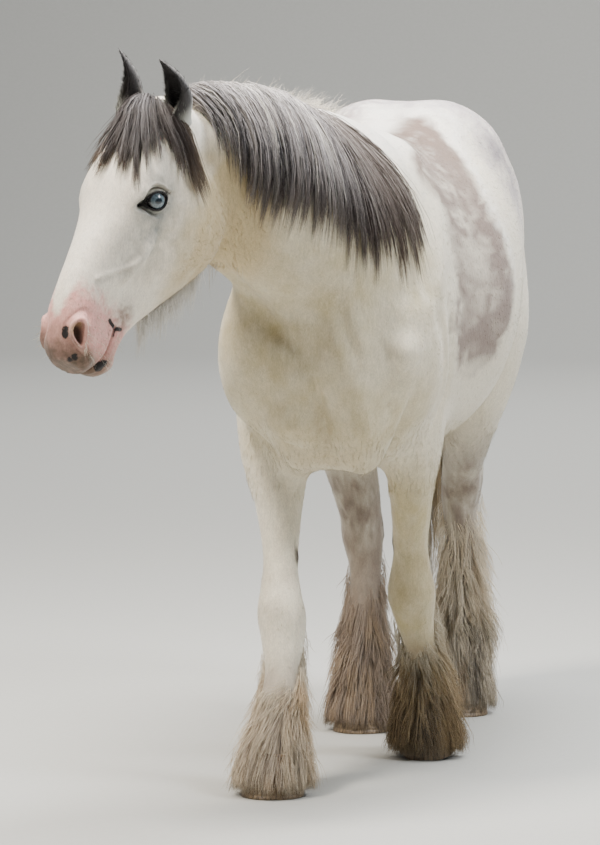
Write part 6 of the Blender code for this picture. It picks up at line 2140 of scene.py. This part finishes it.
class HORSE_OT_skin(bpy.types.Operator):
    """Build the skin with its lids, nostrils, mouth, markings and painted shade"""

    bl_idname = "horse.skin"
    bl_label = "Skin"

    def execute(self, context):
        mesh, _ = skin()
        own = mesh.copy()
        paint(own, skin_colours(own))
        unwrap_skin(own)
        own.shade_smooth()
        material = made_material("coat", short_coat_material)
        finished("skin", own, material, ["torso", "neck", "head", "tail"] + LEG_NODES)
        return {"FINISHED"}


class HORSE_OT_short_coat(bpy.types.Operator):
    """Build the short tufts that break the skin's outline"""

    bl_idname = "horse.short_coat"
    bl_label = "Short coat"

    def execute(self, context):
        mesh, _ = skin()
        strands = coat_tufts(mesh, np.random.default_rng(21))
        hair_piece("short_coat", strands, "soft", "torso")
        return {"FINISHED"}


class HORSE_OT_mane(bpy.types.Operator):
    """Build the mane and the forelock"""

    bl_idname = "horse.mane"
    bl_label = "Mane and forelock"

    def execute(self, context):
        sizes = context.scene.horse_sizes
        _, tree = skin()
        lines = mane_lines(tree)
        for name, low, high, seed in (("mane_front", 0.1, 0.5, 31), ("mane_back", 0.48, 1.0, 32)):
            strands = mane_hair(lines, np.random.default_rng(seed), sizes.mane_strands, low, high)
            hair_piece(name, strands, "mane", "neck")
        strands = crest_frizz(tree, np.random.default_rng(34), FRIZZ_HAIRS)
        hair_piece("crest_frizz", strands, "mane", "neck")
        strands = forelock_hair(tree, np.random.default_rng(33), sizes.forelock_strands)
        hair_piece("forelock", strands, "mane", "head")
        return {"FINISHED"}


class HORSE_OT_tail(bpy.types.Operator):
    """Build the long hair of the tail"""

    bl_idname = "horse.tail"
    bl_label = "Tail"

    def execute(self, context):
        strands = tail_hair(np.random.default_rng(41), context.scene.horse_sizes.tail_strands)
        hair_piece("tail_hair", strands, "mane", "tail")
        return {"FINISHED"}


class HORSE_OT_feather(bpy.types.Operator):
    """Build the feather of the four legs"""

    bl_idname = "horse.feather"
    bl_label = "Leg feather"

    def execute(self, context):
        for seed, leg in enumerate(LEG_NAMES):
            strands = feather_hair(leg, np.random.default_rng(51 + seed),
                                   context.scene.horse_sizes.feather_strands)
            hair_piece("feather_" + leg, strands, "feather", leg + "_lower")
        return {"FINISHED"}


class HORSE_OT_face_hair(bpy.types.Operator):
    """Build the beard, whiskers and lashes"""

    bl_idname = "horse.face_hair"
    bl_label = "Beard, whiskers and lashes"

    def execute(self, context):
        _, tree = skin()
        rng = np.random.default_rng(61)
        strands = beard_hair(tree, rng, context.scene.horse_sizes.beard_strands)
        hair_piece("beard", strands, "soft", "head")
        hair_piece("whiskers", whisker_hair(tree, rng, WHISKERS), "soft", "head")
        hair_piece("lashes", lash_hair(rng), "soft", "head")
        return {"FINISHED"}


class HORSE_OT_ears(bpy.types.Operator):
    """Build the two ears and their soft hair"""

    bl_idname = "horse.ears"
    bl_label = "Ears"

    def execute(self, context):
        for side, name in ((-1, "right"), (1, "left")):
            finished("ear_skin_" + name, ear_skin(side), made_material("ear", ear_material),
                     ["ear_" + name])
            strands = ear_hair(side, np.random.default_rng(70 + side), EAR_HAIRS)
            hair_piece("ear_hair_" + name, strands, "soft", "ear_" + name)
        return {"FINISHED"}


class HORSE_OT_eyes(bpy.types.Operator):
    """Build the two eyes"""

    bl_idname = "horse.eyes"
    bl_label = "Eyes"

    def execute(self, context):
        for side, name in ((-1, "right"), (1, "left")):
            finished("eyeball_" + name, eye_mesh(side), made_material("eye", eye_material),
                     ["eye_" + name])
        return {"FINISHED"}


class HORSE_OT_hooves(bpy.types.Operator):
    """Build the four hooves"""

    bl_idname = "horse.hooves"
    bl_label = "Hooves"

    def execute(self, context):
        for leg in LEG_NAMES:
            finished("horn_" + leg, horn_mesh(leg), made_material("horn", horn_material),
                     ["hoof_" + leg])
        return {"FINISHED"}


def soft_light(name, size, energy, spot, aim, colour):
    """A large soft lamp that faces the point it is aimed at."""
    data = bpy.data.lights.new(name, "AREA")
    data.shape = "RECTANGLE"
    data.size, data.size_y = size
    data.energy = energy
    data.color = colour
    lamp = bpy.data.objects.new(name, data)
    lamp.location = spot
    lamp.rotation_euler = (Vector(aim) - Vector(spot)).to_track_quat("-Z", "Y").to_euler()
    bpy.context.scene.collection.objects.link(lamp)


# The studio floor rises far behind the horse, in a low curve, so that its far edge doesn't show. The curve
# lies beyond the cameras of the other views, and they look in over it.
SWEEP_START = 13.0
SWEEP_BEND = 5.0
SWEEP_TOP = 2.5


def sweep_mesh(half):
    """A floor that runs back and curves upwards a little at its end."""
    profile = [(-half, 0.0)]
    last = math.acos(1 - SWEEP_TOP / SWEEP_BEND)
    for k in range(33):
        angle = last * k / 32
        profile.append((SWEEP_START + SWEEP_BEND * math.sin(angle), SWEEP_BEND * (1 - math.cos(angle))))
    points = [(side * half, y, z) for y, z in profile for side in (-1, 1)]
    faces = [(2 * k, 2 * k + 1, 2 * k + 3, 2 * k + 2) for k in range(len(profile) - 1)]
    mesh = bpy.data.meshes.new("studio sweep")
    mesh.from_pydata(points, [], faces)
    mesh.shade_smooth()
    return mesh


CAMERA_SPOT = Vector((1.786, -10.7, 1.6)) + ORIGIN_SHIFT
CAMERA_TURN = 10.0
CAMERA_DROP = 4.5
WORLD_STRENGTH = 0.17
LAMP_AIM = (0.0, 0.0, 0.9)


class HORSE_OT_stage(bpy.types.Operator):
    """Build the floor, lights, world and camera"""

    bl_idname = "horse.stage"
    bl_label = "Stage"

    def execute(self, context):
        sizes, colours = context.scene.horse_sizes, context.scene.horse_colours
        mesh = sweep_mesh(sizes.floor_size / 2)
        mesh.materials.append(floor_material())
        floor = bpy.data.objects.new("studio_floor", mesh)
        floor.location.z = -0.0005
        context.scene.collection.objects.link(floor)
        world = bpy.data.worlds.new("studio light")
        world.use_nodes = True
        background = world.node_tree.nodes["Background"]
        background.inputs["Color"].default_value = (*colours.backdrop, 1.0)
        background.inputs["Strength"].default_value = WORLD_STRENGTH
        context.scene.world = world
        soft_light("key light", (1.5, 1.5), 760.0, (-1.9, -2.2, 6.0), LAMP_AIM, colours.key)
        soft_light("side light", (1.8, 1.8), 260.0, (3.9, -1.3, 4.8), LAMP_AIM, (0.95, 0.97, 1.0))
        soft_light("top light", (2.0, 3.0), 560.0, (0.6, 0.6, 5.2), LAMP_AIM, (1.0, 1.0, 1.0))
        soft_light("backdrop light", (8.0, 8.0), 1100.0, (0.0, 9.5, 7.0), (0.0, 12.0, 0.0), (1.0, 1.0, 1.0))
        data = bpy.data.cameras.new("studio camera")
        data.lens = sizes.camera_lens
        data.sensor_width = 36.0
        data.clip_end = 200.0
        camera = bpy.data.objects.new("studio camera", data)
        camera.location = CAMERA_SPOT
        camera.rotation_euler = (math.radians(90.0 - CAMERA_DROP), 0.0, math.radians(CAMERA_TURN))
        context.scene.collection.objects.link(camera)
        context.scene.camera = camera
        return {"FINISHED"}


STEPS = (HORSE_OT_skin, HORSE_OT_short_coat, HORSE_OT_mane, HORSE_OT_tail, HORSE_OT_feather,
         HORSE_OT_face_hair,
         HORSE_OT_ears, HORSE_OT_eyes, HORSE_OT_hooves, HORSE_OT_stage)


class HORSE_PT_panel(bpy.types.Panel):
    """Lists the pieces of the horse"""

    bl_idname = "HORSE_PT_panel"
    bl_label = "Gypsy Vanner Horse"
    bl_space_type = "VIEW_3D"
    bl_region_type = "UI"
    bl_category = "Horse"

    def draw(self, context):
        for group in (context.scene.horse_sizes, context.scene.horse_colours):
            for name in group.__annotations__:
                self.layout.prop(group, name)
        for step in STEPS:
            self.layout.operator(step.bl_idname)


CLASSES = (HorseSizes, HorseColours, *STEPS, HORSE_PT_panel)


def register():
    for one in CLASSES:
        bpy.utils.register_class(one)
    bpy.types.Scene.horse_sizes = bpy.props.PointerProperty(type=HorseSizes)
    bpy.types.Scene.horse_colours = bpy.props.PointerProperty(type=HorseColours)


def unregister():
    del bpy.types.Scene.horse_colours
    del bpy.types.Scene.horse_sizes
    for one in reversed(CLASSES):
        bpy.utils.unregister_class(one)


def main():
    register()
    bpy.ops.horse.skin()
    bpy.ops.horse.short_coat()
    bpy.ops.horse.mane()
    bpy.ops.horse.tail()
    bpy.ops.horse.feather()
    bpy.ops.horse.face_hair()
    bpy.ops.horse.ears()
    bpy.ops.horse.eyes()
    bpy.ops.horse.hooves()
    bpy.ops.horse.stage()


if __name__ == "__main__":
    main()
